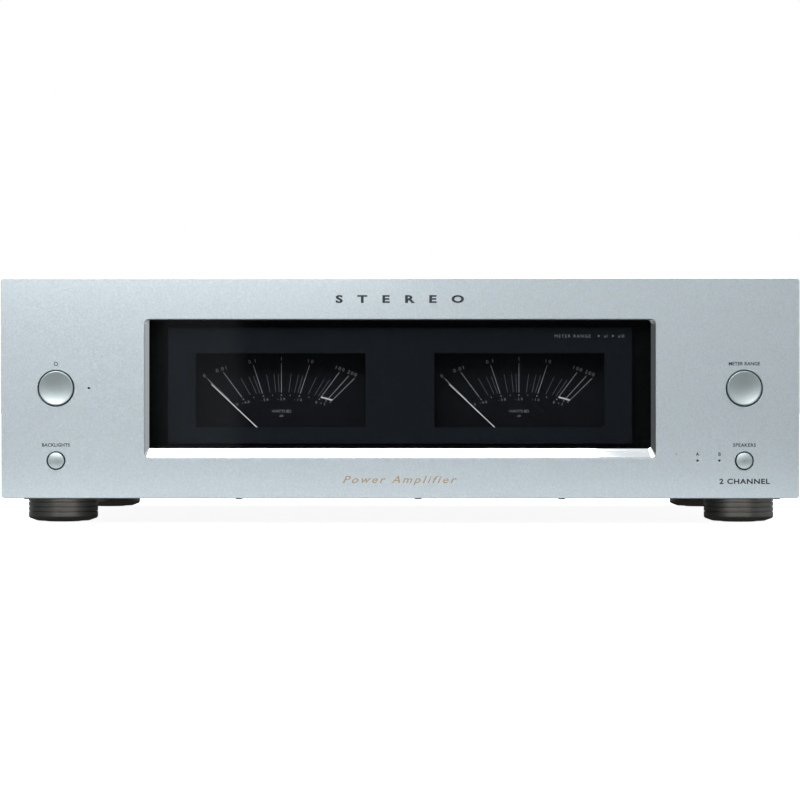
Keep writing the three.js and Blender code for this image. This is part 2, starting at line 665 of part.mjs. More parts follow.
// A phono input: a barrel with a centre contact hole, and a body behind the panel.
function addPhonoInput(name, x) {
  const { body, nut, nutEnd, barrel, hole, length, depth } = PHONO;
  const profile = [
    [0, REAR_FACE - depth],
    [body, REAR_FACE - depth],
    [body, REAR_FACE + GAP],
    [nut, REAR_FACE + GAP],
    [nut, REAR_FACE + nutEnd],
    [barrel, REAR_FACE + nutEnd],
    [barrel, REAR_FACE + length],
    [hole, REAR_FACE + length],
    [hole, REAR_FACE + 1],
    [0, REAR_FACE + 1],
  ];
  add(`phono_input_${name}`, turnedAcross(profile, 12).translate(x, 0, INPUT_Z), MATERIALS.plated);
}

// A slide switch that picks the balanced or the phono inputs.
function addInputSelector() {
  const { halfWidth, halfHeight, bezelEnd, trackHalf, trackHalfHeight, trackDepth } = SELECTOR;
  const { wall, wallTall, depth, lever, proud } = SELECTOR;
  const between = (left, right, y0, y1, tall) =>
    block(left, right, y0, y1, INPUT_Z - tall, INPUT_Z + tall);
  const centred = (half, y0, y1, tall) =>
    between(SELECTOR_X - half, SELECTOR_X + half, y0, y1, tall);
  const bezel = centred(halfWidth, REAR_FACE + GAP, REAR_FACE + bezelEnd, halfHeight);
  const body = centred(trackHalf + wall, REAR_FACE - depth, REAR_FACE + 1, trackHalfHeight + wallTall);
  const trackFloor = REAR_FACE - trackDepth;
  const track = centred(trackHalf, trackFloor, REAR_FACE + 2, trackHalfHeight);
  add("input_selector", combined([bezel, body], [track]), MATERIALS.blackPlastic);
  const left = SELECTOR_X - trackHalf + GAP;
  const stub = between(left, left + lever, trackFloor + GAP, REAR_FACE + proud, trackHalfHeight - GAP);
  add("input_selector_lever", stub, MATERIALS.blackPlastic);
}

// One insulating block per channel, carrying four hollow posts, each with a cap that screws down.
function addSpeakerTerminals(name, side) {
  const front = REAR_FACE + GAP;
  const back = front + BLOCK.thickness;
  const [left, right] = inOrder(
    side * (POST_X[0] - BLOCK.overhang),
    side * (POST_X[3] + BLOCK.overhang),
  );
  const [low, high] = [POST_Z - BLOCK.halfHeight, POST_Z + BLOCK.halfHeight];
  const outline = roundedRectangle(left, right, low, high, 3, 2);
  const pieces = [plateAcross(outline, [], front, back)];
  const plugHoles = [];
  const postEnd = REAR_FACE + POST_END;
  for (const distance of POST_X) {
    const x = side * distance;
    pieces.push(rodAcross(x, POST_Z, POST_COLLAR, REAR_FACE - 5, front + 1, 10));
    pieces.push(rodAcross(x, POST_Z, POST_RADIUS, REAR_FACE - 12, postEnd, 10));
    plugHoles.push(rodAcross(x, POST_Z, PLUG_HOLE.radius, postEnd - PLUG_HOLE.depth, postEnd + 1, 8));
  }
  add(`terminal_block_${name}`, combined(pieces, plugHoles), MATERIALS.blackPlastic);

  const bore = POST_RADIUS + GAP;
  const start = back + GAP;
  const end = REAR_FACE + TERMINAL_LENGTH;
  const cap = [
    [bore, start],
    [CAP_RADIUS - 1, start],
    [CAP_RADIUS - 1, start + 3],
    [CAP_RADIUS, start + 4],
    [CAP_RADIUS, end - 1.2],
    [CAP_RADIUS - 1.2, end],
    [PLUG_HOLE.radius + 0.1, end],
    [PLUG_HOLE.radius + 0.1, postEnd + 1],
    [bore, postEnd + 1],
    [bore, start],
  ];
  const poles = ["a_positive", "a_negative", "b_positive", "b_negative"];
  POST_X.forEach((distance, i) => {
    const material = i % 2 ? MATERIALS.blackPlastic : MATERIALS.red;
    const geometry = turnedAcross(cap, 12).translate(side * distance, 0, POST_Z);
    add(`terminal_cap_${name}_${poles[i]}`, geometry, material);
  });
}

addFrontPanel();
addWindowBezel();
addWindowGlass();
addMeterMask();
addControls();
addChassis();
addTopCover();
addRearPanel();
addPowerSupply();
addMainsInlet();
addInputSelector();
for (const [name, side] of SIDES) {
  addMeter(name, side);
  addFoot(`front_${name}`, side * FOOT.x, FOOT.front);
  addFoot(`rear_${name}`, side * FOOT.x, FOOT.back);
  addChannel(name, side);
  addBalancedInput(name, side * XLR_X);
  addPhonoInput(name, side * RCA_X);
  addSpeakerTerminals(name, side);
}

export default amplifier;
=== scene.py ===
# The looks of a full-width stereo power amplifier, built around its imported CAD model.
# Places are in metres in the CAD frame: +X to the right, +Y towards the back, +Z up.
# Profiles, edges, ink and type are in millimetres, as the functions that take them say.
import json
import math

import bmesh
import bpy
from mathutils import Matrix, Vector

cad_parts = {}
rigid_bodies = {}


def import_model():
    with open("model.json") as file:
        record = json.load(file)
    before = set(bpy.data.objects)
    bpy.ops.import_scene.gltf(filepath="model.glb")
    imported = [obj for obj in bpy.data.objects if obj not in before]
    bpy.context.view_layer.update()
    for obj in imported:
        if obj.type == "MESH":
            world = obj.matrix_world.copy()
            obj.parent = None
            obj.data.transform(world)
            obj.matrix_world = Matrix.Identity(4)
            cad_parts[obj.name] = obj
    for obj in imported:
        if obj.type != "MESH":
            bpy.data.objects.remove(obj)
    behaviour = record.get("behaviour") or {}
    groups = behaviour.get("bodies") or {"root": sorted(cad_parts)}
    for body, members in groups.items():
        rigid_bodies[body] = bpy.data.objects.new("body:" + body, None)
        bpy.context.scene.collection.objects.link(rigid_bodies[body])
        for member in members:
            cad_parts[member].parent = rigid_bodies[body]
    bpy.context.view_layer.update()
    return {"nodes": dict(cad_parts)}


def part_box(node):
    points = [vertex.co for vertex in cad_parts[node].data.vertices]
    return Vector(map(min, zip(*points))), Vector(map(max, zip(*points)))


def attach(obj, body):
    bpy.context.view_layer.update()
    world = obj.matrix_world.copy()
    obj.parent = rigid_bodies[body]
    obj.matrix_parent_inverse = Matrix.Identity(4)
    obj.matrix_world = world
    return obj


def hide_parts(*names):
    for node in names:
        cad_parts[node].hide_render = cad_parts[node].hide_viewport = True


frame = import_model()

MM = 0.001
SIDES = (("left", -1), ("right", 1))


def middle(node):
    low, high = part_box(node)
    return (low + high) / 2


def upright_round(node):
    """Where a round upright node stands, and its radius, bottom and top in millimetres."""
    low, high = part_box(node)
    at = Matrix.Translation((middle(node).x, middle(node).y, 0))
    return at, (high.x - low.x) / 2 / MM, low.z / MM, high.z / MM


# ---------------- places taken from the frame
PANEL_LOW, PANEL_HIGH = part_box("front_panel")
FRONT = PANEL_LOW.y
PANEL_MID_Z = (PANEL_LOW.z + PANEL_HIGH.z) / 2
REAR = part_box("rear_panel")[1].y
SEAT = REAR + 0.3 * MM  # where the flanges of the sockets start
BEZEL_LOW, BEZEL_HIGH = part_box("window_bezel")
GLASS_LOW, GLASS_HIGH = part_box("window_glass")
MASK_LOW, MASK_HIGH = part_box("meter_mask")
CONTROL_X = middle("meter_range_button").x
LARGE_Z = middle("power_button").z
SMALL_Z = middle("backlight_button").z


# ---------------- materials
def add_node(tree, kind, inputs=None, **settings):
    """A shader node whose inputs are linked to sockets or set to values."""
    made = tree.nodes.new(kind)
    for key, value in settings.items():
        setattr(made, key, value)
    for key, value in (inputs or {}).items():
        if isinstance(value, bpy.types.NodeSocket):
            tree.links.new(value, made.inputs[key])
        else:
            made.inputs[key].default_value = value
    return made


class Surface:
    """A Principled material whose colour, roughness and bump vary with procedural noise."""

    def __init__(self, name, color, roughness, metallic=0.0):
        self.material = bpy.data.materials.new(name)
        self.material.use_nodes = True
        self.links = self.material.node_tree.links
        self.shader = self.material.node_tree.nodes["Principled BSDF"]
        self.set(Metallic=metallic, Roughness=roughness)
        self.shader.inputs["Base Color"].default_value = (*color, 1)
        self.material.diffuse_color = (*color, 1)
        self.color = color
        self.roughness = roughness
        self.place = self.node("ShaderNodeTexCoord").outputs["Object"]

    def set(self, **values):
        for key, value in values.items():
            self.shader.inputs[key.replace("_", " ")].default_value = value
        return self

    def node(self, kind, inputs=None, **settings):
        return add_node(self.material.node_tree, kind, inputs, **settings)

    def noise(self, size, detail=3.0, stretch=None):
        """Noise with features about size metres across, from 0 to 1."""
        place = self.place
        if stretch:
            place = self.node("ShaderNodeMapping", {"Vector": place, "Scale": stretch}).outputs[0]
        made = self.node("ShaderNodeTexNoise", {"Vector": place, "Scale": 1 / size, "Detail": detail})
        return made.outputs["Fac"]

    def spread(self, value, low, high):
        """Maps the useful span of a 0 to 1 pattern onto low to high."""
        inputs = {"Value": value, "From Min": 0.35, "From Max": 0.65, "To Min": low, "To Max": high}
        return self.node("ShaderNodeMapRange", inputs).outputs["Result"]

    def shade(self, value, amount):
        """Lightens and darkens the colour by up to amount along a pattern."""
        source = self.shader.inputs["Base Color"]
        start = source.links[0].from_socket if source.links else self.color
        factor = self.spread(value, 1 - amount, 1 + amount)
        made = self.node("ShaderNodeVectorMath", {0: start, "Scale": factor}, operation="SCALE")
        self.links.new(made.outputs[0], source)
        return self

    def polish(self, value, amount):
        """Makes the surface smoother and rougher by up to amount along a pattern."""
        rough = self.spread(value, self.roughness - amount, self.roughness + amount)
        self.links.new(rough, self.shader.inputs["Roughness"])
        return self

    def bump(self, value, depth):
        """Adds relief of a depth in metres along a pattern."""
        made = self.node("ShaderNodeBump", {"Height": value, "Distance": depth})
        self.links.new(made.outputs[0], self.shader.inputs["Normal"])
        return self

    def grained(self, size, shade, polish, depth, detail=3.0, stretch=None):
        pattern = self.noise(size, detail, stretch)
        return self.shade(pattern, shade).polish(pattern, polish).bump(pattern, depth)


# Short name: material, colour, roughness, metallic, and the grain as Surface.grained takes it.
FINISHES = {
    "blasted": ("blasted_aluminium", (0.635, 0.707, 0.743), 0.56, 0.92, (0.0006, 0.062, 0.05, 1e-5, 2)),
    "satin": ("satin_aluminium", (0.705, 0.8, 0.81), 0.45, 1.0, (0.0005, 0.015, 0.015, 2e-7, 2)),
    "polished": (
        "polished_aluminium", (0.87, 0.895, 0.91), 0.07, 1.0, (0.0012, 0.01, 0.02, 1.5e-6, 3, (0.05, 1, 1)),
    ),
    "mask": ("mask_black", (0.0098, 0.0121, 0.0152), 0.6, 0.0, (0.0005, 0.1, 0.05, 5e-7)),
    "border": ("border_black", (0.0022, 0.0025, 0.0027), 0.7, 0.0, (0.0006, 0.1, 0.05, 5e-7)),
    "dial": ("dial_black", (0.0074, 0.0084, 0.0104), 0.7, 0.0, (0.0004, 0.1, 0.06, 5e-7)),
    "ink_major": ("ink_pale", (0.29, 0.30, 0.31), 0.55, 0.0, (0.0003, 0.06, 0.05, 2e-6)),
    "ink_text": ("ink_grey", (0.19, 0.20, 0.21), 0.55, 0.0, (0.0003, 0.06, 0.05, 2e-6)),
    "ink_minor": ("ink_soft", (0.10, 0.106, 0.112), 0.55, 0.0, (0.0003, 0.06, 0.05, 2e-6)),
    "ink_dark": ("ink_dark", (0.018, 0.024, 0.028), 0.5, 0.0, (0.0003, 0.1, 0.05, 2e-6)),
    "ink_white": ("ink_white", (0.62, 0.63, 0.63), 0.5, 0.0, (0.0003, 0.06, 0.05, 2e-6)),
    "ink_gold": ("ink_gold", (0.37, 0.27, 0.14), 0.45, 0.4, (0.0003, 0.06, 0.05, 2e-6)),
    "needle": ("pointer_white", (0.86, 0.865, 0.86), 0.35, 0.0, (0.0006, 0.02, 0.05, 3e-6)),
    "foot": ("foot_metal", (0.158, 0.154, 0.141), 0.36, 0.9, (0.0005, 0.08, 0.05, 6e-6, 3, (1, 1, 4))),
    "rubber": ("foot_rubber", (0.013, 0.013, 0.013), 0.8, 0.0, (0.0008, 0.2, 0.08, 3e-5)),
    "cover": ("cover_paint", (0.37, 0.395, 0.41), 0.5, 0.35, (0.0011, 0.05, 0.06, 5e-5, 2)),
    "zinc": ("plated_steel", (0.60, 0.61, 0.60), 0.34, 1.0, (0.006, 0.07, 0.07, 4e-6, 5)),
    "screw": ("screw_steel", (0.36, 0.36, 0.36), 0.3, 1.0, (0.001, 0.08, 0.06, 4e-6)),
    "black_screw": ("screw_black", (0.03, 0.03, 0.031), 0.35, 0.6, (0.001, 0.12, 0.06, 4e-6)),
    "rear": ("rear_paint", (0.021, 0.021, 0.023), 0.52, 0.1, (0.001, 0.1, 0.08, 4e-5, 2)),
    "moulded": ("moulded_black", (0.018, 0.018, 0.019), 0.42, 0.0, (0.0007, 0.12, 0.06, 1.4e-5)),
    "nickel": ("nickel_plate", (0.62, 0.60, 0.57), 0.2, 1.0, (0.002, 0.04, 0.04, 2e-6, 5)),
    "gold": ("gold_plate", (0.86, 0.60, 0.24), 0.17, 1.0, (0.002, 0.04, 0.04, 2e-6, 5)),
    "red": ("terminal_red", (0.36, 0.012, 0.014), 0.2, 0.0, (0.002, 0.08, 0.04, 4e-6)),
    "smoke": ("terminal_black", (0.014, 0.014, 0.015), 0.2, 0.0, (0.002, 0.12, 0.04, 4e-6)),
    "lens": ("lamp_lens", (0.018, 0.02, 0.022), 0.22, 0.0, (0.0006, 0.1, 0.04, 3e-6)),
    "sink": ("sink_black", (0.028, 0.029, 0.031), 0.42, 0.7, (0.0006, 0.1, 0.05, 1.2e-5, 3, (1, 1, 0.06))),
    "sleeve": ("capacitor_sleeve", (0.012, 0.02, 0.06), 0.24, 0.0, (0.004, 0.1, 0.05, 1e-5)),
}


def make_materials():
    looks = {key: Surface(*finish).grained(*grain) for key, (*finish, grain) in FINISHES.items()}
    for key, level in (("mask", 0.03), ("border", 0.02), ("dial", 0.03)):
        looks[key].set(Specular_IOR_Level=level)
    for key in ("red", "smoke"):
        looks[key].set(Coat_Weight=0.5, Coat_Roughness=0.08)
    for key, size, amount in (("blasted", 0.0016, 0.018), ("cover", 0.03, 0.012)):
        looks[key].shade(looks[key].noise(size, 2), amount)
    glass = Surface("window_glass", (0.83, 0.86, 0.88), 0.02).set(Transmission_Weight=1.0, IOR=1.36)
    looks["glass"] = glass.polish(glass.noise(0.02, 2), 0.01)
    looks["board"] = board_surface()
    looks["winding"] = winding_surface(middle("transformer"))
    return {key: look.material for key, look in looks.items()}


def board_surface():
    """Green solder resist over copper tracks, with a fine glass weave."""
    look = Surface("circuit_board", (0.012, 0.075, 0.03), 0.38)
    turned_place = look.node("ShaderNodeMapping", {"Vector": look.place, "Rotation": (0, math.pi / 2, 0)})
    bricks = look.node("ShaderNodeTexBrick", {
        "Vector": turned_place.outputs[0], "Scale": 90.0, "Mortar Size": 0.08, "Mortar Smooth": 0.2,
        "Brick Width": 1.3, "Row Height": 0.35,
    })
    colors = {"Factor": bricks.outputs["Fac"], 6: (*look.color, 1), 7: (0.03, 0.16, 0.055, 1)}
    mixed = look.node("ShaderNodeMix", colors, data_type="RGBA")
    look.links.new(mixed.outputs[2], look.shader.inputs["Base Color"])
    return look.grained(0.0012, 0.12, 0.05, 1e-5)


def winding_surface(centre):
    """Enamelled copper wire under clear tape: fine turns that run radially around the core."""
    look = Surface("transformer_winding", (0.44, 0.17, 0.055), 0.3, 0.35)

    def result(operation, *values):
        return look.node("ShaderNodeMath", dict(enumerate(values)), operation=operation).outputs[0]

    moved = look.node("ShaderNodeVectorMath", {0: look.place, 1: centre}, operation="SUBTRACT")
    x, y, _ = look.node("ShaderNodeSeparateXYZ", {0: moved.outputs[0]}).outputs
    sine = result("SINE", result("MULTIPLY", result("ARCTAN2", x, y), WIRE_TURNS))
    wave = result("MULTIPLY_ADD", sine, 0.5, 0.5)
    look.shade(wave, 0.2).bump(wave, 0.0003).set(Coat_Weight=0.6, Coat_Roughness=0.15)
    return look.shade(look.noise(0.02, 3), 0.12)


WIRE_TURNS = 230.0
LOOKS = make_materials()


# ---------------- mesh tools
def new_object(name, data):
    made = bpy.data.objects.new(name, data)
    bpy.context.scene.collection.objects.link(made)
    return made


def add(name, parts, look, body="root", replaces=None, smooth=38, tags=None):
    """Makes a piece of one mesh or a list of them, and gives it its material, shading and body."""
    mesh = joined(parts, name, tags) if isinstance(parts, list) else mesh_from(parts, name)
    piece = new_object(name, mesh)
    for key in [look] if isinstance(look, str) else look:
        mesh.materials.append(LOOKS[key])
    mesh.polygons.foreach_set("use_smooth", [True] * len(mesh.polygons))
    mesh.set_sharp_from_angle(angle=math.radians(smooth))
    piece.modifiers.new("weighted", "WEIGHTED_NORMAL").keep_sharp = True
    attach(piece, body)
    if replaces:
        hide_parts(replaces)
    return piece


def mesh_from(bm, name):
    bmesh.ops.recalc_face_normals(bm, faces=bm.faces)
    mesh = bpy.data.meshes.new(name)
    bm.to_mesh(mesh)
    bm.free()
    return mesh


def circle(x, z, radius, sides):
    turns = [2 * math.pi * i / sides for i in range(sides)]
    return [(x + radius * math.cos(t), z + radius * math.sin(t)) for t in turns]


def rounded(left, right, low, high, radius, steps=8):
    """A rectangle with round corners, anticlockwise. radius is one value, or four from top right on."""
    radii = radius if isinstance(radius, (tuple, list)) else [radius] * 4
    points = []
    for quarter, r in enumerate(radii):
        x = right - r if quarter in (0, 3) else left + r
        z = high - r if quarter in (0, 1) else low + r
        for i in range(steps + 1):
            turn = math.pi / 2 * (quarter + i / steps)
            points.append((x + r * math.cos(turn), z + r * math.sin(turn)))
    return points


def filled(low, high, radius, steps=8):
    """The outline of a box seen from the front, with its corners rounded by radius, in millimetres."""
    return rounded(low.x, high.x, low.z, high.z, radius * MM, steps)


def about(place, half_x, half_z, radius, steps):
    """A rounded rectangle about a place. The sizes are in millimetres."""
    radii = [r * MM for r in radius] if isinstance(radius, tuple) else radius * MM
    box = (place.x - half_x * MM, place.x + half_x * MM, place.z - half_z * MM, place.z + half_z * MM)
    return rounded(*box, radii, steps)


def taken(piece):
    """What an object shows, in place of it."""
    shown = piece.evaluated_get(bpy.context.evaluated_depsgraph_get())
    mesh = bpy.data.meshes.new_from_object(shown)
    bm = bmesh.new()
    bm.from_mesh(mesh)
    bpy.data.batch_remove([mesh, piece.data, piece])
    return bm


def mesh_of(curve):
    """The mesh that a curve or a text makes, in place of it."""
    bm = taken(new_object("step", curve))
    bmesh.ops.remove_doubles(bm, verts=bm.verts, dist=1e-7)
    return bm


def plate(outline, holes, thickness, edge, steps):
    """A flat plate from outlines in its own x-y plane, centred on z, with edges rounded by edge."""
    curve = bpy.data.curves.new("step", "CURVE")
    curve.dimensions = "2D"
    curve.fill_mode = "BOTH"
    curve.extrude = thickness / 2 - edge
    curve.bevel_depth = edge
    curve.bevel_resolution = steps
    curve.offset = -edge
    for points in [outline] + [hole[::-1] for hole in holes]:
        spline = curve.splines.new("POLY")
        spline.points.add(len(points) - 1)
        for place, (x, y) in zip(spline.points, points):
            place.co = (x, y, 0, 1)
        spline.use_cyclic_u = True
    return mesh_of(curve)


UPRIGHT = Matrix.Rotation(math.pi / 2, 4, "X")
UPSIDE_DOWN = Matrix.Rotation(math.pi, 4, "X")


def plate_across(outline, holes, front, back, edge, steps=1):
    """A plate that stands in the x-z plane between two values of y. edge is in millimetres."""
    bm = plate(outline, holes, back - front, edge * MM, steps)
    bm.transform(Matrix.Translation((0, (front + back) / 2, 0)) @ UPRIGHT)
    return bm


def skin(bm, rings, closed):
    """Faces between rings of vertices. A ring can be one vertex, repeated."""
    for one, two in zip(rings, rings[1:] + rings[:1] if closed else rings[1:]):
        for i in range(len(one)):
            j = (i + 1) % len(one)
            corners = list(dict.fromkeys([one[i], one[j], two[j], two[i]]))
            if len(corners) > 2:
                bm.faces.new(corners)


def between(loops, closed=False):
    """A solid skinned over loops of points: capped at both ends, or closed into a frame."""
    bm = bmesh.new()
    rings = [[bm.verts.new(point) for point in loop] for loop in loops]
    skin(bm, rings, closed)
    if not closed:
        bm.faces.new(rings[0])
        bm.faces.new(rings[-1])
    return bm


def turned(profile, sides, matrix=Matrix.Identity(4)):
    """A round piece about z from (radius, z) points in millimetres, axis to axis or back to its start."""
    bm = bmesh.new()
    closed = profile[0] == profile[-1]
    rings = []
    for radius, z in profile[:-1] if closed else profile:
        if radius:
            rings.append([bm.verts.new((x, y, z * MM)) for x, y in circle(0, 0, radius * MM, sides)])
        else:
            rings.append([bm.verts.new((0, 0, z * MM))] * sides)
    skin(bm, rings, closed)
    bm.transform(matrix)
    return bm


def facing(x, y, z):
    """Places a piece made about z so that its +z points out of the front, along -y."""
    return Matrix.Translation((x, y, z)) @ UPRIGHT


def facing_back(x, y, z):
    """Places a piece made about z so that its +z points out of the back, along +y."""
    return Matrix.Translation((x, y, z)) @ Matrix.Rotation(-math.pi / 2, 4, "X")


def slab(low, high, edge):
    """A block between two corners with every edge rounded by edge, in millimetres."""
    bm = bmesh.new()
    bmesh.ops.create_cube(bm, size=1)
    low, high = Vector(low), Vector(high)
    bm.transform(Matrix.Translation((low + high) / 2) @ Matrix.Diagonal((*(high - low), 1)))
    bmesh.ops.bevel(bm, geom=bm.edges[:], offset=edge * MM, segments=2, profile=0.5, affect="EDGES")
    return bm


def joined(parts, name, tags):
    """One mesh from several; tags gives each part's material number."""
    whole = bmesh.new()
    for i, part in enumerate(parts):
        if tags:
            for face in part.faces:
                face.material_index = tags[i]
        step = mesh_from(part, "step")
        whole.from_mesh(step)
        bpy.data.meshes.remove(step)
    mesh = bpy.data.meshes.new(name)
    whole.to_mesh(mesh)
    whole.free()
    return mesh


def arc(centre, radius, start, end, steps):
    """Points of an arc, as (radius, height) pairs, with angles in degrees."""
    turns = [math.radians(start + (end - start) * i / steps) for i in range(steps + 1)]
    return [(centre[0] + radius * math.cos(t), centre[1] + radius * math.sin(t)) for t in turns]


# ---------------- printing
INK = 0.03  # mm, the thickness of printed marks
CAPITAL = 0.73  # a capital's height as a share of the type size


def letters(words, height, spacing, stretch, weight, shear):
    """Flat letters in the x-y plane with their base on y = 0, and their width. height is a capital's."""
    curve = bpy.data.curves.new("words", "FONT")
    curve.body = words
    curve.size = height * MM / CAPITAL
    curve.align_x = "CENTER"
    curve.space_character = spacing
    curve.shear = shear
    curve.offset = weight * MM
    curve.extrude = INK * MM / 2
    curve.resolution_u = 3
    bm = mesh_of(curve)
    bm.transform(Matrix.Diagonal((stretch, 1, 1, 1)))
    places = [vert.co.x for vert in bm.verts]
    left, right = min(places), max(places)
    bm.transform(Matrix.Translation((-(left + right) / 2, 0, 0)))
    return bm, (right - left) / MM


def text_bm(words, height, width=None, stretch=1.0, weight=0.0, shear=0.0):
    """Letters of a height, spaced out to a width where one is given, all in millimetres."""
    style = (stretch, weight, shear)
    bm, tight = letters(words, height, 1.0, *style)
    if width is None or len(words) == 1:
        return bm
    bm.free()
    bm, loose = letters(words, height, 2.0, *style)
    bm.free()
    return letters(words, height, 1 + (width - tight) / (loose - tight), *style)[0]


def printed(words, height, x, y, z, **style):
    """Letters printed on a face that looks out of the front."""
    bm = text_bm(words, height, **style)
    bm.transform(Matrix.Translation((x, y - INK * MM / 2, z)) @ UPRIGHT)
    return bm


def printed_back(words, height, x, z):
    """Letters printed on the rear panel."""
    bm = text_bm(words, height)
    at = Matrix.Translation((x, REAR + INK * MM / 2, z))
    bm.transform(at @ Matrix.Rotation(math.pi, 4, "Z") @ UPRIGHT)
    return bm


def stroke(a, b, width, y):
    """A printed line between two (x, z) points, its width in millimetres."""
    a, b = Vector(a), Vector(b)
    along = (b - a).normalized()
    side = Vector((-along.y, along.x)) * width * MM / 2
    outline = (a - side, b - side, b + side, a + side)
    return between([[(p.x, depth, p.y) for p in outline] for depth in (y, y - INK * MM)])


def dot(x, z, radius, y, sides=20):
    """A printed dot, its radius in millimetres."""
    return turned([(0, 0), (radius, 0), (radius, INK), (0, INK)], sides, facing(x, y, z))


# ---------------- front panel and window
PANEL_EDGE = 0.3  # mm, the chamfer around the panel and its openings
BUTTON_HOLE = {LARGE_Z: 10.1 * MM, SMALL_Z: 5.15 * MM}
LAMPS = ("power_led", "speaker_led_a", "speaker_led_b")
LAMP_HOLE = 0.62 * MM


def make_front_panel():
    holes = [rounded(*BEZEL_WINDOW, WINDOW_CORNER)]
    for _, side in SIDES:
        for z, radius in BUTTON_HOLE.items():
            holes.append(circle(side * CONTROL_X, z, radius, 64))
    holes += [circle(middle(lamp).x, middle(lamp).z, LAMP_HOLE, 16) for lamp in LAMPS]
    bm = plate_across(filled(PANEL_LOW, PANEL_HIGH, 1.8), holes, FRONT, PANEL_HIGH.y, PANEL_EDGE, 0)
    add("face_plate", bm, "blasted", replaces="front_panel")


# How far the bezel's flange reaches past the opening, behind the panel.
FLANGE = {"side": 3.6 * MM, "bottom": 3.9 * MM, "top": 4.0 * MM}
WINDOW_CORNER = 2.7 * MM
BEVEL_START = 0.2 * MM  # how far behind the panel's face the bezel's bevel starts
TOP_SET_BACK = 1.9 * MM  # how much further back it starts along the top, where it is narrow
BEZEL_WINDOW = (
    BEZEL_LOW.x + FLANGE["side"], BEZEL_HIGH.x - FLANGE["side"],
    BEZEL_LOW.z + FLANGE["bottom"], BEZEL_HIGH.z - FLANGE["top"],
)


def view_outline(grow):
    """The outline of the glass, grown on all sides."""
    box = (GLASS_LOW.x - grow, GLASS_HIGH.x + grow, GLASS_LOW.z - grow, GLASS_HIGH.z + grow)
    return rounded(*box, (1.6 * MM, 0.5 * MM, 0.5 * MM, 1.6 * MM))


def make_bezel():
    gap = 0.15 * MM
    left, right, low, high = BEZEL_WINDOW
    lip = view_outline(0.7 * MM)
    rebate = view_outline(1.2 * MM)

    def outer(inset):
        box = (left + inset, right - inset, low + inset, high - inset)
        return rounded(*box, WINDOW_CORNER - inset)

    def face(z):
        back = min(max((z - high + WINDOW_CORNER) / WINDOW_CORNER, 0), 1)
        return FRONT + BEVEL_START + TOP_SET_BACK * back

    def flat(outline, y):
        return [(x, y, z) for x, z in outline]

    ledge = GLASS_LOW.y - 0.1 * MM
    rear = GLASS_LOW.y + 6 * MM
    loops = [
        [(x, face(z), z) for x, z in outer(gap)], flat(lip, FRONT + 2.6 * MM), flat(lip, ledge),
        flat(rebate, ledge), flat(rebate, rear), flat(outer(gap), rear),
    ]
    bm = between(loops, closed=True)
    add("bezel_frame", bm, "polished", replaces="window_bezel", smooth=24)


def make_glass():
    bm = plate_across(view_outline(1.0 * MM), [], GLASS_LOW.y, GLASS_HIGH.y, 0.15)
    add("window_pane", bm, "glass", replaces="window_glass").visible_shadow = False


OPENING_HALF = 46.5 * MM
OPENING_LOW = 52.7 * MM
OPENING_HIGH = 93.2 * MM
MASK_BORDER = {"side": 9.4 * MM, "top": 3.2 * MM, "bottom": 2.0 * MM}


def make_mask():
    """The mask sits in a deep black surround, which shows as a dark band on all four sides."""
    left, right, low, high = MASK_LOW.x, MASK_HIGH.x, MASK_LOW.z, MASK_HIGH.z
    inner = rounded(
        left + MASK_BORDER["side"], right - MASK_BORDER["side"],
        low + MASK_BORDER["bottom"], high - MASK_BORDER["top"], 0.6 * MM, 3,
    )
    holes = []
    for name, _ in SIDES:
        x = middle(f"dial_{name}").x
        holes.append(rounded(x - OPENING_HALF, x + OPENING_HALF, OPENING_LOW, OPENING_HIGH, 0.5 * MM, 3))
    mask = plate_across(inner, holes, MASK_LOW.y, MASK_HIGH.y, 0.12)
    surround = plate_across(view_outline(1.0 * MM), [inner], MASK_LOW.y + 1.6 * MM, MASK_HIGH.y, 0.1)
    looks = ["mask", "border"]
    add("mask_plate", [mask, surround], looks, replaces="meter_mask", tags=[0, 1])


def make_mask_print():
    z = PANEL_MID_Z + 27.7 * MM
    y = MASK_LOW.y
    height = 1.75
    dot_z = z + height / 2 * MM
    parts = [
        printed("METER RANGE", height, 94.4 * MM, y, z, width=19.6),
        dot(108.6 * MM, dot_z, 0.5, y),
        printed("x1", height, 112.3 * MM, y, z),
        dot(116.3 * MM, dot_z, 0.5, y),
        printed("x10", height, 120.8 * MM, y, z),
    ]
    add("range_print", parts, "ink_text")


# ---------------- meters
DECADE = math.radians(18.35)  # pointer turn for ten times the power
ZERO = math.radians(-46)
END = math.radians(45.5)
REST_ANGLE = math.radians(-46.6)  # of the pointer, against its stop
PIVOT_Z = 40 * MM
# Where the scale's lines begin and end: (radius of the arc, its top's height over the pivot).
MAJOR_OUTER = (101 * MM, 48.0 * MM)
MAJOR_INNER = (95 * MM, 31.7 * MM)
MINOR_OUTER = (104 * MM, 42.0 * MM)
MINOR_INNER = (96 * MM, 31.9 * MM)
DOT_ARC = (96 * MM, 30.3 * MM)


def at_watts(watts):
    return DECADE * math.log10(watts)


def reach(angle, arc_line):
    """How far from the pivot a line at an angle meets a flatter arc."""
    radius, top = arc_line
    centre = top - radius
    return centre * math.cos(angle) + math.sqrt(radius**2 - (centre * math.sin(angle)) ** 2)


def on_dial(x, angle, distance):
    return (x + distance * math.sin(angle), PIVOT_Z + distance * math.cos(angle))


def ray(x, y, angle, inner, outer, width):
    return stroke(on_dial(x, angle, reach(angle, inner)), on_dial(x, angle, reach(angle, outer)), width, y)


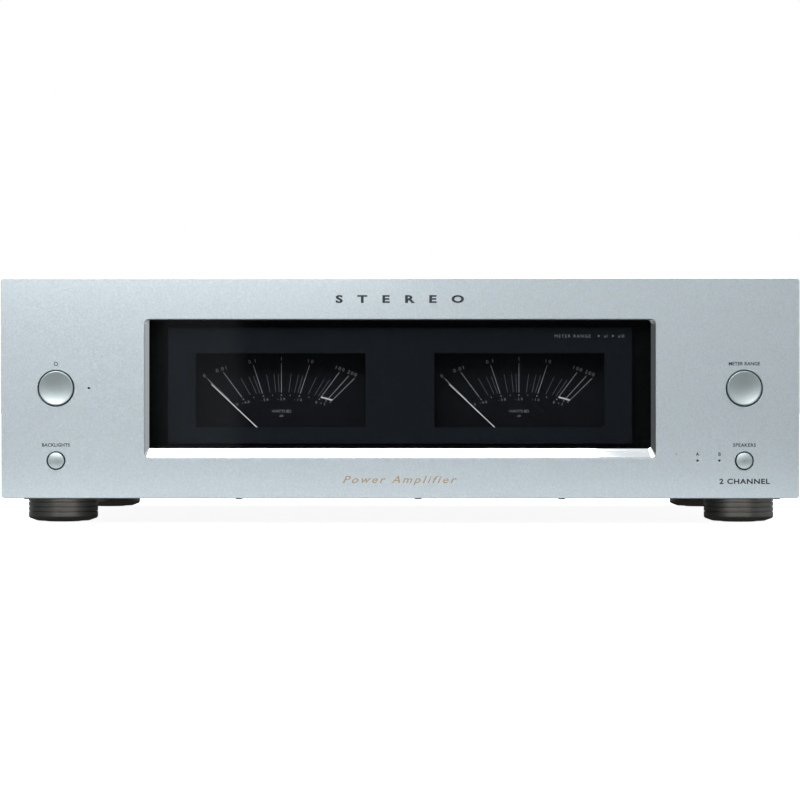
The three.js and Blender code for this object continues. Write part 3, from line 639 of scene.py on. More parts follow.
def scale_text(words, height, width, x, y, angle, distance, lean):
    """Figures centred at a distance from the pivot, leaning by a share of their line's angle."""
    px, pz = on_dial(x, angle, distance)
    bm = text_bm(words, height, width, stretch=1.1)
    bm.transform(Matrix.Translation((0, -height / 2 * MM, 0)))
    at = Matrix.Translation((px, y - INK * MM / 2, pz))
    bm.transform(at @ Matrix.Rotation(angle * lean, 4, "Y") @ UPRIGHT)
    return bm


def make_dial(name):
    low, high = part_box(f"dial_{name}")
    x = (low.x + high.x) / 2
    y = low.y
    bm = plate_across(filled(low, high, 1, 4), [], y, high.y, 0.1)
    add(f"dial_plate_{name}", bm, "dial", replaces=f"dial_{name}")

    lines = []
    for angle in [ZERO, END, at_watts(200)] + [at_watts(10**power) for power in range(-2, 3)]:
        lines.append(ray(x, y, angle, MAJOR_INNER, MAJOR_OUTER, 0.3))
    faint = []
    for power in range(-2, 2):
        for share in (2.5, 5, 7.5):
            faint.append(ray(x, y, at_watts(share * 10**power), MINOR_INNER, MINOR_OUTER, 0.25))

    # The heavy bar that joins the inner ends of the last three lines.
    bar = []
    last = [at_watts(100), (at_watts(100) + at_watts(200)) / 2, at_watts(200), END]
    for one, two in zip(last, last[1:]):
        ends = [on_dial(x, angle, reach(angle, MAJOR_INNER)) for angle in (one, two)]
        bar.append(stroke(*ends, 0.85, y - INK * MM))

    # Dots at every decade and half decade, the half ones smaller, and at the scale's end.
    dots = [(at_watts(100) - DECADE / 2 * i, 0.24 if i % 2 else 0.32) for i in range(9)]
    for angle, radius in dots + [(at_watts(200), 0.32), (END, 0.32)]:
        lines.append(dot(*on_dial(x, angle, reach(angle, DOT_ARC)), radius, y, 14))

    words = [printed("WATTS 8Ω", 1.6, x, y, PIVOT_Z + 20.7 * MM, width=10.8, stretch=1.1)]
    words.append(printed("dB", 1.2, x, y, PIVOT_Z + 18.3 * MM, stretch=1.3))
    above = [
        ("0", None, ZERO), ("0.01", 6.0, at_watts(0.01)), ("0.1", 3.9, at_watts(0.1)), ("1", None, 0.0),
        ("10", 3.0, at_watts(10)), ("100", 5.0, at_watts(90)), ("200", 5.5, at_watts(210)),
    ]
    below = [
        ("-50", 4.1, ZERO), ("-40", 4.1, at_watts(0.01)), ("-30", 4.1, at_watts(0.1)), ("-20", 4.1, 0.0),
        ("-10", 4.1, at_watts(10)), ("0", None, at_watts(92)), ("+3", 2.9, at_watts(182)),
    ]
    rows = ((above, MAJOR_OUTER, 2.2, 2.1, 0.52), (below, DOT_ARC, -2.1, 1.45, 0.3))
    for row, line, beyond, height, lean in rows:
        for figures, width, angle in row:
            distance = reach(angle, line) + beyond * MM
            words.append(scale_text(figures, height, width, x, y, angle, distance, lean))
    groups = {"ink_major": lines, "ink_white": bar, "ink_text": words, "ink_minor": faint}
    tags = [i for i, group in enumerate(groups.values()) for _ in group]
    add(f"scale_{name}", sum(groups.values(), []), list(groups), tags=tags)


def make_needle(name):
    """A thin white pointer on its hub, with a counterweight on its tail."""
    node = f"needle_{name}"
    low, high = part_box(node)
    front = low.y + 0.6 * MM
    half = [(0.62, -6.0), (0.62, -4.2), (0.3, -3.6), (0.42, 0), (0.24, 6), (0.2, 52.6), (0.1, 52.9)]
    outline = half + [(-x, z) for x, z in reversed(half)]
    pointer = between([[(x * MM, depth * MM, z * MM) for x, z in outline] for depth in (0.05, 0.3)])
    end = (front - high.y) / MM
    hub = turned([(0, 0.6), (0.8, 0.6), (1.2, 0.3), (2.4, 0.2), (2.4, end), (0, end)], 32, UPRIGHT)
    at = Matrix.Translation((middle(f"dial_{name}").x, front, PIVOT_Z))
    for part in (pointer, hub):
        part.transform(at @ Matrix.Rotation(REST_ANGLE, 4, "Y"))
    add(f"pointer_{name}", [pointer, hub], ["needle", "moulded"], node, node, tags=[0, 1])


# ---------------- buttons, lamps and panel print
def dished_face(radius, centre, rim, steps):
    """Points from the middle of a button's face to its edge. centre and rim are heights over the panel."""
    return [(radius * i / steps, centre + (rim - centre) * (i / steps) ** 2) for i in range(steps + 1)]


def make_button(name, radius, centre, rim, flange):
    """A button's cap, its stop flange behind the panel and its stem. The sizes are in millimetres."""
    place = middle(name)
    edge = 0.25
    end = (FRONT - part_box(name)[1].y) / MM
    stop = (FRONT - PANEL_HIGH.y) / MM - 0.3
    face = dished_face(radius - edge, centre, rim, 14)
    side = arc((radius - edge, rim - edge), edge, 90, 0, 4)[1:]
    rear = [(radius, stop), (flange, stop), (flange, stop - 0.7), (2.2, stop - 0.7), (2.2, end), (0, end)]
    bm = turned(face + side + rear, 96, facing(place.x, FRONT, place.z))
    add(f"{name}_cap", bm, "satin", name, name)


BUTTONS = ("power_button", "meter_range_button", "backlight_button", "speaker_button")


def make_buttons():
    for name in BUTTONS[:2]:
        make_button(name, 9.25, -0.75, 0.55, 11.3)
    for name in BUTTONS[2:]:
        make_button(name, 4.35, 1.05, 0.45, 6.1)


def make_lamps():
    """Unlit light pipes with a soft tip, sunk a little into the panel."""
    radius, soft, sunk = 0.52, 0.3, 0.12
    for lamp in LAMPS:
        place = middle(lamp)
        end = (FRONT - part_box(lamp)[1].y) / MM
        tip = [(0, -sunk)] + arc((radius - soft, -sunk - soft), soft, 90, 0, 4)
        rod = tip + [(radius, end), (0, end)]
        bm = turned(rod, 24, facing(place.x, FRONT, place.z))
        add(f"{lamp}_pipe", bm, "lens", replaces=lamp)


def make_panel_print():
    under = SMALL_Z + 7.7 * MM
    by_lamp = SMALL_Z + 2.8 * MM

    def word(words, x, z, width=None, height=1.85, weight=0.06, **style):
        return printed(words, height, x, FRONT, z, width=width, weight=weight, **style)

    dark = [
        word("STEREO", 0, PANEL_MID_Z + 46.7 * MM, 70, 4.1, 0.22, stretch=1.5),
        word("METER RANGE", CONTROL_X, LARGE_Z + 12.5 * MM, 17),
        word("BACKLIGHTS", -CONTROL_X, under, 15.2),
        word("SPEAKERS", CONTROL_X, under, 12.4),
        word("A", middle("speaker_led_a").x, by_lamp),
        word("B", middle("speaker_led_b").x, by_lamp),
        word("2 CHANNEL", 187.7 * MM, PANEL_MID_Z - 52.0 * MM, 27.5, 2.8, 0.12, stretch=1.2),
    ]
    ring = [(0.8, 0), (1.15, 0), (1.15, INK), (0.8, INK), (0.8, 0)]
    dark.append(turned(ring, 32, facing(-CONTROL_X, FRONT, LARGE_Z + 13.3 * MM)))
    dark.append(dot(150.5 * MM, SMALL_Z + 3.7 * MM, 0.25, FRONT))
    add("panel_print", dark, "ink_dark")
    gold = word("Power Amplifier", 0, PANEL_MID_Z - 51.6 * MM, 62, 4.0, 0.04, stretch=1.25, shear=0.35)
    add("gold_print", [gold], "ink_gold")


# ---------------- feet
# In millimetres; the side's lower end and the sole are heights over the floor.
FOOT_GROOVES = 3
FIRST_GROOVE = 3.6
GROOVE_PITCH = 2.7
GROOVE_DEPTH = 0.7
FOOT_SIDE_LOW = 3.2
FOOT_SOLE = 0.45
FOOT_RECESS = 10.6
FOOT_BORE = 2.3
PAD_BORE = 4


def make_foot(name):
    """A turned foot with fine grooves, a rounded lower edge and a rubber ring around its screw."""
    at, radius, _, top = upright_round(f"foot_{name}")
    profile = [(FOOT_BORE, top), (radius - 0.5, top), (radius, top - 0.5)]
    groove = [(0, 0.3), (0.08, 0.21), (GROOVE_DEPTH, 0.15)]
    groove += [(depth, -z) for depth, z in reversed(groove)]
    for i in range(FOOT_GROOVES):
        middle_z = top - FIRST_GROOVE - GROOVE_PITCH * i
        profile += [(radius - depth, middle_z + z) for depth, z in groove]
    # The side turns in over a small radius and runs down to a flat sole.
    profile += arc((radius - 1.6, FOOT_SIDE_LOW), 1.6, 0, -60, 6)
    profile += [
        (0.76 * radius, FOOT_SOLE), (FOOT_RECESS + 0.3, FOOT_SOLE), (FOOT_RECESS, FOOT_SOLE + 0.3),
        (FOOT_RECESS, 2.6), (PAD_BORE, 2.6), (PAD_BORE, 6), (FOOT_BORE, 6), (FOOT_BORE, top),
    ]
    body = turned(profile[::-1], 128, at)
    add(f"foot_body_{name}", body, "foot", replaces=f"foot_{name}", smooth=50)

    _, outer, _, pad_top = upright_round(f"foot_pad_{name}")
    soft = 0.7
    ring = [(PAD_BORE, pad_top), (PAD_BORE, soft)] + arc((PAD_BORE + soft, soft), soft, 180, 270, 4)
    ring += arc((outer - soft, soft), soft, -90, 0, 4) + [(outer, pad_top), (PAD_BORE, pad_top)]
    pad = turned(ring, 64, at)
    add(f"foot_ring_{name}", pad, "rubber", replaces=f"foot_pad_{name}", smooth=50)
    add_screw(f"foot_screw_{name}", 3.4, 1.6, Matrix.Translation((0, 0, 4.4 * MM)) @ at @ UPSIDE_DOWN)


def carved(bm, cutter):
    """A piece less a second piece."""
    piece, tool = [new_object("step", mesh_from(part, "step")) for part in (bm, cutter)]
    cut = piece.modifiers.new("cut", "BOOLEAN")
    cut.operation = "DIFFERENCE"
    cut.solver = "EXACT"
    cut.object = tool
    rest = taken(piece)
    bpy.data.batch_remove([tool.data, tool])
    return rest


def cross_prism(reach_out, half, low, high):
    """A cross-shaped plug about z, narrower at its foot. The sizes are in millimetres."""
    corners = [(reach_out, half), (half, half), (half, reach_out)]
    for _ in range(3):
        corners += [(-y, x) for x, y in corners[-3:]]
    foot = [(x * 0.6 * MM, y * 0.8 * MM, low * MM) for x, y in corners]
    return between([foot, [(x * MM, y * MM, high * MM) for x, y in corners]])


def add_screw(name, radius, height, matrix, look="screw"):
    """A pan head with a cross recess, made about z on z = 0. The sizes are in millimetres."""
    crown = arc((radius - height * 0.8, height * 0.2), height * 0.8, 0, 90, 5)
    head = turned([(0, 0), (radius, 0)] + crown + [(0, height)], 40)
    bm = carved(head, cross_prism(radius * 0.56, radius * 0.12, height * 0.25, height * 1.2))
    bm.transform(matrix)
    add(name, bm, look, smooth=40)


# ---------------- cover
SLOT_ENDS = (150 * MM, 200 * MM)  # from the middle
SLOT_WIDTH = 4 * MM
SLOT_PITCH = 12 * MM
SLOTS = 22
FIRST_SLOT = 57.7 * MM  # behind the cover's front edge
FOLD = 2.4 * MM
SHEET = 1.2 * MM


def make_cover():
    """One folded steel sheet: a slotted top between two folds, and a plain side below each."""
    low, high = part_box("top_cover")
    slots = []
    for _, side in SIDES:
        ends = sorted(side * end for end in SLOT_ENDS)
        for i in range(SLOTS):
            y = low.y + FIRST_SLOT + i * SLOT_PITCH
            slots.append(rounded(*ends, y, y + SLOT_WIDTH, SLOT_WIDTH * 0.499, 5))
    flat = high.x - FOLD
    outline = [(-flat, low.y), (flat, low.y), (flat, high.y), (-flat, high.y)]
    top = plate(outline, slots, SHEET, 0.12 * MM, 1)
    top.transform(Matrix.Translation((0, 0, high.z - SHEET / 2)))
    parts = [top]
    for _, side in SIDES:
        centre = (flat, high.z - FOLD)
        section = arc(centre, FOLD, 90, 0, 8) + [(high.x, low.z), (high.x - SHEET, low.z)]
        section += arc(centre, FOLD - SHEET, 0, 90, 8)
        parts.append(between([[(side * x, y, z) for x, z in section] for y in (low.y, high.y)]))
    add("cover_sheet", parts, "cover", replaces="top_cover", smooth=30)


def make_cover_screws():
    low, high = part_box("top_cover")
    for name, side in SIDES:
        for i, y in enumerate((low.y + 40 * MM, (low.y + high.y) / 2, high.y - 40 * MM)):
            at = Matrix.Translation((side * high.x, y, low.z + 22 * MM))
            outwards = Matrix.Rotation(side * math.pi / 2, 4, "Y")
            add_screw(f"side_screw_{name}_{i + 1}", 3.4, 1.7, at @ outwards)


# ---------------- rear panel and sockets
def make_rear_panel():
    low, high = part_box("rear_panel")
    holes = [about(middle("mains_inlet"), 14.2, 10.2, 2, 4), about(middle("input_selector"), 7, 4, 0.5, 2)]
    for name, _ in SIDES:
        sockets = [(f"balanced_input_{name}", 12.1, 32), (f"phono_input_{name}", 5.4, 32)]
        sockets += [(f"terminal_cap_{name}_{pole}", 5.6, 24) for pole in POLES]
        for node, radius, sides in sockets:
            holes.append(circle(middle(node).x, middle(node).z, radius * MM, sides))
    outline = [(low.x, low.z), (high.x, low.z), (high.x, high.z), (low.x, high.z)]
    bm = plate_across(outline, holes, low.y, high.y, 0.15)
    add("rear_sheet", bm, "rear", replaces="rear_panel")
    spots = [(x, z) for x in (-204, -70, 70, 204) for z in (24, 125)] + [(-204, 74), (204, 74)]
    for i, (x, z) in enumerate(spots):
        add_screw(f"rear_screw_{i + 1}", 3.2, 1.6, facing_back(x * MM, REAR, z * MM), "black_screw")


POLES = ("a_positive", "a_negative", "b_positive", "b_negative")


def make_mains_inlet():
    low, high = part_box("mains_inlet")
    place = (low + high) / 2
    face = high.y
    cavity = about(place, 12, 7.75, (4, 4, 1, 1), 5)
    body = about(place, 13.7, 9.75, 1.5, 4)
    screws = [place.x + side * 20 * MM for _, side in SIDES]
    ears = [circle(x, place.z, 1.7 * MM, 20) for x in screws]
    parts = [
        plate_across(filled(low, high, 5), [cavity] + ears, SEAT, face, 0.4, 2),
        plate_across(body, [cavity], face - 16 * MM, REAR + 0.4 * MM, 0.1),
        plate_across(body, [], low.y, face - 15.9 * MM, 0.1),
    ]
    for x, z in ((0, 2), (-7, -2), (7, -2)):
        pin = Vector((place.x + x * MM, face, place.z + z * MM))
        parts.append(slab(pin + Vector((-1, -16.5, -2)) * MM, pin + Vector((1, -2.5, 2)) * MM, 0.35))
    tags = [0, 0, 0, 1, 1, 1]
    add("inlet_body", parts, ["moulded", "nickel"], replaces="mains_inlet", tags=tags)
    for i, x in enumerate(screws):
        add_screw(f"inlet_screw_{i + 1}", 3.0, 1.5, facing_back(x, face, place.z), "black_screw")


def make_balanced_input(name):
    """A flange, a metal shell and a black insert with three contacts, and a latch above them."""
    node = f"balanced_input_{name}"
    low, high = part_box(node)
    x, z = (low.x + high.x) / 2, (low.z + high.z) / 2
    face = REAR + 2.3 * MM
    hole = circle(x, z, 11.0 * MM, 48)
    wall = [(0, -22), (11.6, -22), (11.6, 3.2), (11.2, 3.8), (9.8, 3.8), (9.4, 3.4), (9.4, -12), (0, -12)]
    insert = [(0, -13), (7, -13), (7, 2.4), (6.6, 2.8), (0, 2.8)]
    at = facing_back(x, REAR, z)
    parts = [
        plate_across(filled(low, high, 3, 6), [hole], SEAT, face, 0.3, 2),
        turned(wall, 64, at), turned(insert, 48, at),
    ]
    cup = [(0, 0.06), (0.85, 0.06), (1.25, 0), (1.5, 0.12), (1.25, 0.2), (0.9, 0.1), (0, 0.1)]
    for share in (-0.6, 0, 0.6):
        px = x + 3.9 * MM * math.sin(math.pi * share)
        pz = z - 3.9 * MM * math.cos(math.pi * share)
        parts.append(turned(cup, 24, facing_back(px, REAR + 2.75 * MM, pz)))
    latch_low = (x - 2.6 * MM, face - 0.5 * MM, high.z - 4.8 * MM)
    latch_high = (x + 2.6 * MM, face + 0.9 * MM, high.z - 1.2 * MM)
    parts.append(slab(latch_low, latch_high, 0.3))
    looks = ["nickel", "moulded", "gold"]
    tags = [0, 0, 1, 2, 2, 2, 0]
    add(f"balanced_socket_{name}", parts, looks, replaces=node, tags=tags)
    for i, (_, side) in enumerate(SIDES):
        at = facing_back(x + side * 9.8 * MM, face, z - side * 12.3 * MM)
        add_screw(f"balanced_screw_{name}_{i + 1}", 2.3, 1.2, at, "black_screw")


def make_phono_input(name):
    node = f"phono_input_{name}"
    place = middle(node)
    end = (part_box(node)[1].y - REAR) / MM
    barrel = [
        (0, -14), (5, -14), (5, 2.4), (4.15, 2.4), (4.15, end - 0.5), (3.7, end), (3, end),
        (2.9, end - 0.4), (2.9, 1.5), (0, 1.5),
    ]
    core = [(1.7, 1.4), (2.9, 1.4), (2.9, end - 0.7), (1.7, end - 0.7), (1.7, 1.4)]
    collar = [(4.2, 0.3)] + arc((6.1, 0.7), 0.4, -90, 0, 3)
    collar += arc((6.1, 2.1), 0.4, 0, 90, 3) + [(4.2, 2.5), (4.2, 0.3)]
    at = facing_back(place.x, REAR, place.z)
    parts = [turned(barrel, 48, at), turned(core, 32, at), turned(collar, 48, at)]
    looks = ["gold", "moulded", "ink_white" if name == "left" else "red"]
    add(f"phono_socket_{name}", parts, looks, replaces=node, tags=[0, 1, 2])


def make_selector():
    low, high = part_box("input_selector")
    place = (low + high) / 2
    face = high.y
    track = about(place, 5, 2.3, 0.3, 2)
    body = about(place, 6.6, 3.6, 0.3, 2)
    parts = [
        plate_across(filled(low, high, 1.2, 4), [track], SEAT, face, 0.2),
        plate_across(body, [track], face - 6.5 * MM, REAR + 0.35 * MM, 0.05),
        plate_across(body, [], low.y, face - 6.45 * MM, 0.05),
    ]
    add("selector_case", parts, "moulded", replaces="input_selector")
    node = "input_selector_lever"
    low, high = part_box(node)
    lever = [slab(low, high, 0.35)]
    for i in range(3):
        x = low.x + (high.x - low.x) * (i + 1) / 4
        rib_low = (x - 0.2 * MM, high.y - 0.3 * MM, low.z + 0.4 * MM)
        rib_high = (x + 0.2 * MM, high.y + 0.15 * MM, high.z - 0.4 * MM)
        lever.append(slab(rib_low, rib_high, 0.08))
    add("selector_lever", lever, "smoke", node, node)


KNURLS = 24


def make_terminal_cap(name, pole):
    """A screw cap with a wavy grip and a gold ring in its end."""
    node = f"terminal_cap_{name}_{pole}"
    low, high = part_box(node)
    place = (low + high) / 2
    radius, length = (high.x - low.x) / 2 / MM, (high.y - low.y) / MM
    bore, hole = 3.9, 2.3
    outer = [
        (bore, 0), (radius - 1.3, 0), (radius - 1, 0.3), (radius - 1, 2.6), (radius - 0.1, 3.6),
        (radius, 4), (radius, length - 3.4), (radius - 0.7, length - 2.8), (radius - 0.7, length - 2.2),
        (radius, length - 1.6), (radius, length - 1.1),
    ]
    outer += arc((radius - 1.1, length - 1.1), 1.1, 15, 90, 5)
    inner = [
        (hole + 1.3, length), (hole + 1.2, length - 0.25), (hole, length - 0.25), (hole, length - 6),
        (bore, length - 6), (bore, 0),
    ]
    bm = turned(outer + inner, KNURLS * 6)
    for vert in bm.verts:
        across = math.hypot(vert.co.x, vert.co.y)
        if 3.9 * MM < vert.co.z < (length - 3.3) * MM and across > (radius - 0.05) * MM:
            wave = 0.5 - 0.5 * math.cos(KNURLS * math.atan2(vert.co.y, vert.co.x))
            share = 1 - 0.55 * MM * wave**2 / across
            vert.co.x *= share
            vert.co.y *= share
    at = facing_back(place.x, low.y, place.z)
    bm.transform(at)
    deep, shallow = length - 0.6, length - 0.1
    ring = [(2.35, deep), (3.45, deep), (3.45, shallow), (2.35, shallow), (2.35, deep)]
    red = "positive" in pole
    looks = ["red" if red else "smoke", "gold"]
    parts = [bm, turned(ring, 32, at)]
    add(f"cap_{name}_{pole}", parts, looks, node, node, smooth=50, tags=[0, 1])


def make_terminals(name):
    """A block with four hollow posts, and the caps on them."""
    node = f"terminal_block_{name}"
    parts = [plate_across(filled(*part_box(node), 3, 6), [], SEAT, REAR + 3.3 * MM, 0.35, 2)]
    boss = [(0, -5), (5.2, -5), (5.2, 1), (0, 1)]
    post = [
        (0, -12), (3.2, -12), (3.2, 2.9), (6.9, 3.1), (6.9, 3.5), (3.6, 3.5), (3.6, 16.6), (3.3, 17),
        (2.3, 17), (2.1, 16.8), (2.1, 1), (0, 1),
    ]
    for pole in POLES:
        place = middle(f"terminal_cap_{name}_{pole}")
        at = facing_back(place.x, REAR, place.z)
        parts += [turned(boss, 24, at), turned(post, 32, at)]
    tags = [0] + [0, 1] * len(POLES)
    add(f"terminal_base_{name}", parts, ["moulded", "gold"], replaces=node, tags=tags)
    for pole in POLES:
        make_terminal_cap(name, pole)


def make_rear_print():
    marks = []
    for name, side in SIDES:
        balanced = middle(f"balanced_input_{name}")
        phono = middle(f"phono_input_{name}")
        over_block = middle(f"terminal_block_{name}").z + 15 * MM
        caps = [middle(f"terminal_cap_{name}_{pole}") for pole in POLES]
        marks += [
            ("L" if name == "left" else "R", 3, balanced.x - side * 20 * MM, balanced.z - 1.5 * MM),
            ("BALANCED", 2.1, balanced.x, balanced.z + 18 * MM),
            ("LINE", 2.1, phono.x, phono.z + 10 * MM),
            ("A", 3, (caps[0].x + caps[1].x) / 2, over_block),
            ("B", 3, (caps[2].x + caps[3].x) / 2, over_block),
        ]
        for pole, cap in zip(POLES, caps):
            marks.append(("+" if "positive" in pole else "-", 3.2, cap.x, cap.z + 15 * MM))
    for words, node, above in (("INPUT", "input_selector", 9), ("AC IN", "mains_inlet", 15)):
        marks.append((words, 2.1, middle(node).x, middle(node).z + above * MM))
    add("rear_print", [printed_back(*mark) for mark in marks], "ink_white")


# ---------------- inside
def make_transformer():
    """The wound ring, rounder at its outer edges than in its bore."""
    at, radius, bottom, top = upright_round("transformer")
    bore = 20
    outer, inner = 9, 4.5
    profile = arc((radius - outer, bottom + outer), outer, -90, 0, 8)
    profile += arc((radius - outer, top - outer), outer, 0, 90, 8)
    profile += arc((bore + inner, top - inner), inner, 90, 180, 6)
    profile += arc((bore + inner, bottom + inner), inner, 180, 270, 6)
    profile.append(profile[0])
    bm = turned(profile, 160, at)
    add("winding", bm, "winding", replaces="transformer", smooth=60)


def make_capacitors():
    """Cans in a sleeve, with a bead near the foot and a bare lid inside the rolled top."""
    for name, _ in SIDES:
        node = f"capacitor_{name}"
        at, radius, bottom, top = upright_round(node)
        lip = 2.2
        sleeve = [(0, bottom), (radius - 1, bottom)] + arc((radius - 1, bottom + 1), 1, -60, 0, 3)
        sleeve += [(radius, bottom + 6), (radius - 0.5, bottom + 7.2)]
        sleeve += [(radius - 0.5, bottom + 8), (radius, bottom + 9.2)]
        sleeve += arc((radius - lip, top - lip), lip, 0, 90, 6)
        sleeve += [(radius - 4.4, top), (radius - 4.6, top - 0.6), (0, top - 0.6)]
        lid = [(0, top - 0.7), (radius - 4.7, top - 0.7), (radius - 4.9, top - 0.2)]
        lid += [(radius - 6, top - 0.4), (0, top - 0.4)]
        parts = [turned(sleeve, 96, at), turned(lid, 64, at)]
        looks = ["sleeve", "nickel"]
        add(f"can_{name}", parts, looks, replaces=node, smooth=50, tags=[0, 1])


def dress_frame_nodes():
    """CAD nodes whose shape is right keep it and take a finished material."""
    dressed = {
        "front_chassis_plate": "zinc", "bottom_plate": "zinc", "transformer_clamp": "zinc",
        "transformer_bolt": "screw", "power_supply_board": "board",
    }
    pairs = {
        "switch_board": "board", "amplifier_board": "board", "heatsink": "sink",
        "meter_case": "moulded", "meter_movement": "nickel",
    }
    for name, _ in SIDES:
        dressed.update({f"{kind}_{name}": look for kind, look in pairs.items()})
    for node, look in dressed.items():
        mesh = frame["nodes"][node].data
        mesh.materials.clear()
        mesh.materials.append(LOOKS[look])


def make_floor_screws():
    """Screws under the front edge, which just show below the panel."""
    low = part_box("bottom_plate")[0]
    for i, x in enumerate((-205.5, -88.7, 9.9, 88.9, 206.9)):
        at = Matrix.Translation((x * MM, low.y + 8 * MM, low.z))
        add_screw(f"floor_screw_{i + 1}", 2.7, 2.0, at @ UPSIDE_DOWN)


# ---------------- stage, light and camera
CAMERA_DISTANCE = 1.8
CAMERA_X = 0.018
CAMERA_BELOW = 0.0064  # how far under the panel's middle it looks along
FLOOR_REACH = 14.0
FRAME_WIDTH = 0.4359  # metres that the picture spans at the front panel


def ground(name, low, high, z):
    """A flat level piece between two (x, y) corners."""
    bm = bmesh.new()
    corners = (low, (high[0], low[1]), high, (low[0], high[1]))
    bm.faces.new([bm.verts.new((*corner, z)) for corner in corners])
    return new_object(name, mesh_from(bm, name))


def make_stage():
    floor = ground("floor", (-FLOOR_REACH, -FLOOR_REACH), (FLOOR_REACH, FLOOR_REACH), -0.0002)
    look = Surface("floor_paint", (0.86, 0.865, 0.87), 0.7)
    look.set(Emission_Color=(1, 1, 1, 1), Emission_Strength=0.93)
    look.shade(look.noise(0.4, 2), 0.006)
    floor.data.materials.append(look.material)
    floor.visible_glossy = False
    floor.visible_transmission = False

    # Painted shade: a near-black sheet below the body, seen only in reflections, stands for the floor's
    # shadow that the feet and the underside reflect.
    shadow_sheet = ground("painted_floor_shadow", (PANEL_LOW.x, FRONT), (PANEL_HIGH.x, REAR), -0.0001)
    look = Surface("painted_floor_shadow_paint", (0.01, 0.01, 0.01), 0.9)
    look.shade(look.noise(0.1, 2), 0.1)
    shadow_sheet.data.materials.append(look.material)
    for kind in ("camera", "diffuse", "transmission", "shadow"):
        setattr(shadow_sheet, f"visible_{kind}", False)


def make_world():
    """A soft studio: bright above, dimmer at the sides, dark behind the camera, white where it shows."""
    world = bpy.data.worlds.new("studio")
    bpy.context.scene.world = world
    world.use_nodes = True
    tree = world.node_tree
    tree.nodes.clear()

    def mapped(value, start, end, low, high):
        inputs = {"Value": value, "From Min": start, "From Max": end, "To Min": low, "To Max": high}
        return add_node(tree, "ShaderNodeMapRange", inputs, interpolation_type="SMOOTHSTEP").outputs[0]

    def combined(operation, a, b):
        return add_node(tree, "ShaderNodeMath", {0: a, 1: b}, operation=operation).outputs[0]

    place = add_node(tree, "ShaderNodeTexCoord").outputs["Generated"]
    across, depth, up = add_node(tree, "ShaderNodeSeparateXYZ", {0: place}).outputs
    height = add_node(tree, "ShaderNodeMapRange", {"Value": up, "From Min": -1}).outputs[0]
    ramp = add_node(tree, "ShaderNodeValToRGB", {"Fac": height})
    stops = ((0.0, 0.02), (0.1, 0.07), (0.22, 0.36), (0.45, 0.28), (0.53, 0.35), (0.72, 0.59), (0.9, 0.83))
    while len(ramp.color_ramp.elements) < len(stops):
        ramp.color_ramp.elements.new(0.5)
    for element, (position, value) in zip(ramp.color_ramp.elements, stops):
        element.position = position
        element.color = (value * 0.97, value * 0.995, value * 1.025, 1)
    front = mapped(depth, -0.99, -0.9, 0.07, 1.0)
    # A faint strip behind the camera, which the left end of the glass reflects.
    strip_left = mapped(across, -0.084, -0.079, 0.0, 1.0)
    strip_right = mapped(across, -0.055, -0.062, 0.0, 1.0)
    strip = combined("MULTIPLY", strip_left, strip_right)
    front = combined("ADD", front, combined("MULTIPLY", strip, mapped(depth, -0.95, -0.97, 0.0, 0.45)))
    left = mapped(across, -1.0, -0.75, 0.25, 1.0)
    right = mapped(across, 1.0, 0.75, 1.25, 1.0)
    strength = combined("MULTIPLY", front, combined("MULTIPLY", left, right))
    soft = add_node(tree, "ShaderNodeBackground", {"Color": ramp.outputs["Color"], "Strength": strength})
    plain = add_node(tree, "ShaderNodeBackground", {"Color": (1, 1, 1, 1)})
    seen = add_node(tree, "ShaderNodeLightPath").outputs["Is Camera Ray"]
    mix = add_node(tree, "ShaderNodeMixShader", {0: seen, 1: soft.outputs[0], 2: plain.outputs[0]})
    add_node(tree, "ShaderNodeOutputWorld", {"Surface": mix.outputs[0]})


def softbox(name, place, target, size, power, color=(1, 1, 1), only=()):
    """An area light. One that lights only some pieces isn't seen itself."""
    light = bpy.data.lights.new(name, "AREA")
    light.shape = "RECTANGLE"
    light.size, light.size_y = size
    light.energy = power
    light.color = color
    made = new_object(name, light)
    made.location = place
    made.rotation_euler = (Vector(target) - Vector(place)).to_track_quat("-Z", "Y").to_euler()
    if only:
        made.visible_camera = False
        made.light_linking.receiver_collection = bpy.data.collections.new(name)
        for piece in only:
            made.light_linking.receiver_collection.objects.link(bpy.data.objects[piece])


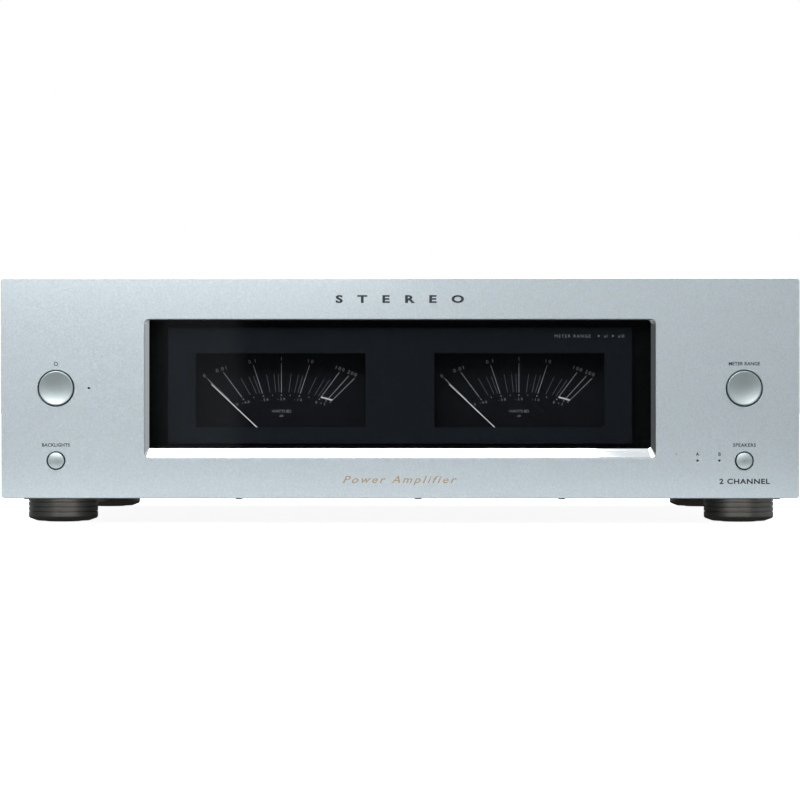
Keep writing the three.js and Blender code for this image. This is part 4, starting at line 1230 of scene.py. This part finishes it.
def make_lights():
    softbox("key", (-0.24, FRONT - 0.42, 0.58), (-0.1, FRONT, 0.06), (0.75, 0.28), 4.0, (1.0, 0.995, 0.985))
    softbox("top", (0, 0.1, 1.6), (0, 0, 0.1), (1.6, 1.6), 19.5)
    softbox("back_left", (-1.3, 1.7, 1.1), (0, 0.1, 0.06), (1.0, 0.8), 5.5)
    softbox("back_right", (1.4, 1.5, 0.9), (0, 0.1, 0.06), (0.9, 0.8), 4.0)
    # Strips close to the panel, over its top edge and under its bottom edge, and one for the feet.
    panel = ["face_plate"] + [f"{name}_cap" for name in BUTTONS]
    brow = (-0.12, FRONT - 0.05, PANEL_HIGH.z + 0.03)
    softbox("brow", brow, (-0.12, FRONT, PANEL_HIGH.z - 0.02), (0.25, 0.03), 0.025, only=panel)
    low = (-0.01, FRONT - 0.04, 0.004)
    softbox("low", low, (-0.01, FRONT, PANEL_LOW.z + 0.02), (0.49, 0.02), 0.03, only=panel)
    feet = [f"foot_body_front_{side}" for side, _ in SIDES]
    softbox("fill", (0.02, FRONT - 0.6, 0.035), (0, FRONT, 0.01), (1.1, 0.035), 0.66, only=feet)


def make_camera():
    data = bpy.data.cameras.new("camera")
    camera = new_object("camera", data)
    data.sensor_width = 36
    data.lens = data.sensor_width * CAMERA_DISTANCE / FRAME_WIDTH
    camera.location = (CAMERA_X, FRONT - CAMERA_DISTANCE, PANEL_MID_Z - CAMERA_BELOW)
    camera.rotation_euler = (math.pi / 2, 0, math.atan((CAMERA_X - 0.0001) / CAMERA_DISTANCE))
    bpy.context.scene.camera = camera
    bpy.context.scene.view_settings.view_transform = "Standard"


make_camera()
make_stage()
make_world()
dress_frame_nodes()
make_front_panel()
make_bezel()
make_glass()
make_mask()
make_mask_print()
for side_name, _ in SIDES:
    make_dial(side_name)
    make_needle(side_name)
    make_balanced_input(side_name)
    make_phono_input(side_name)
    make_terminals(side_name)
    for end_name in ("front", "rear"):
        make_foot(f"{end_name}_{side_name}")
make_buttons()
make_lamps()
make_panel_print()
make_cover()
make_cover_screws()
make_rear_panel()
make_mains_inlet()
make_selector()
make_rear_print()
make_transformer()
make_capacitors()
make_floor_screws()
make_lights()
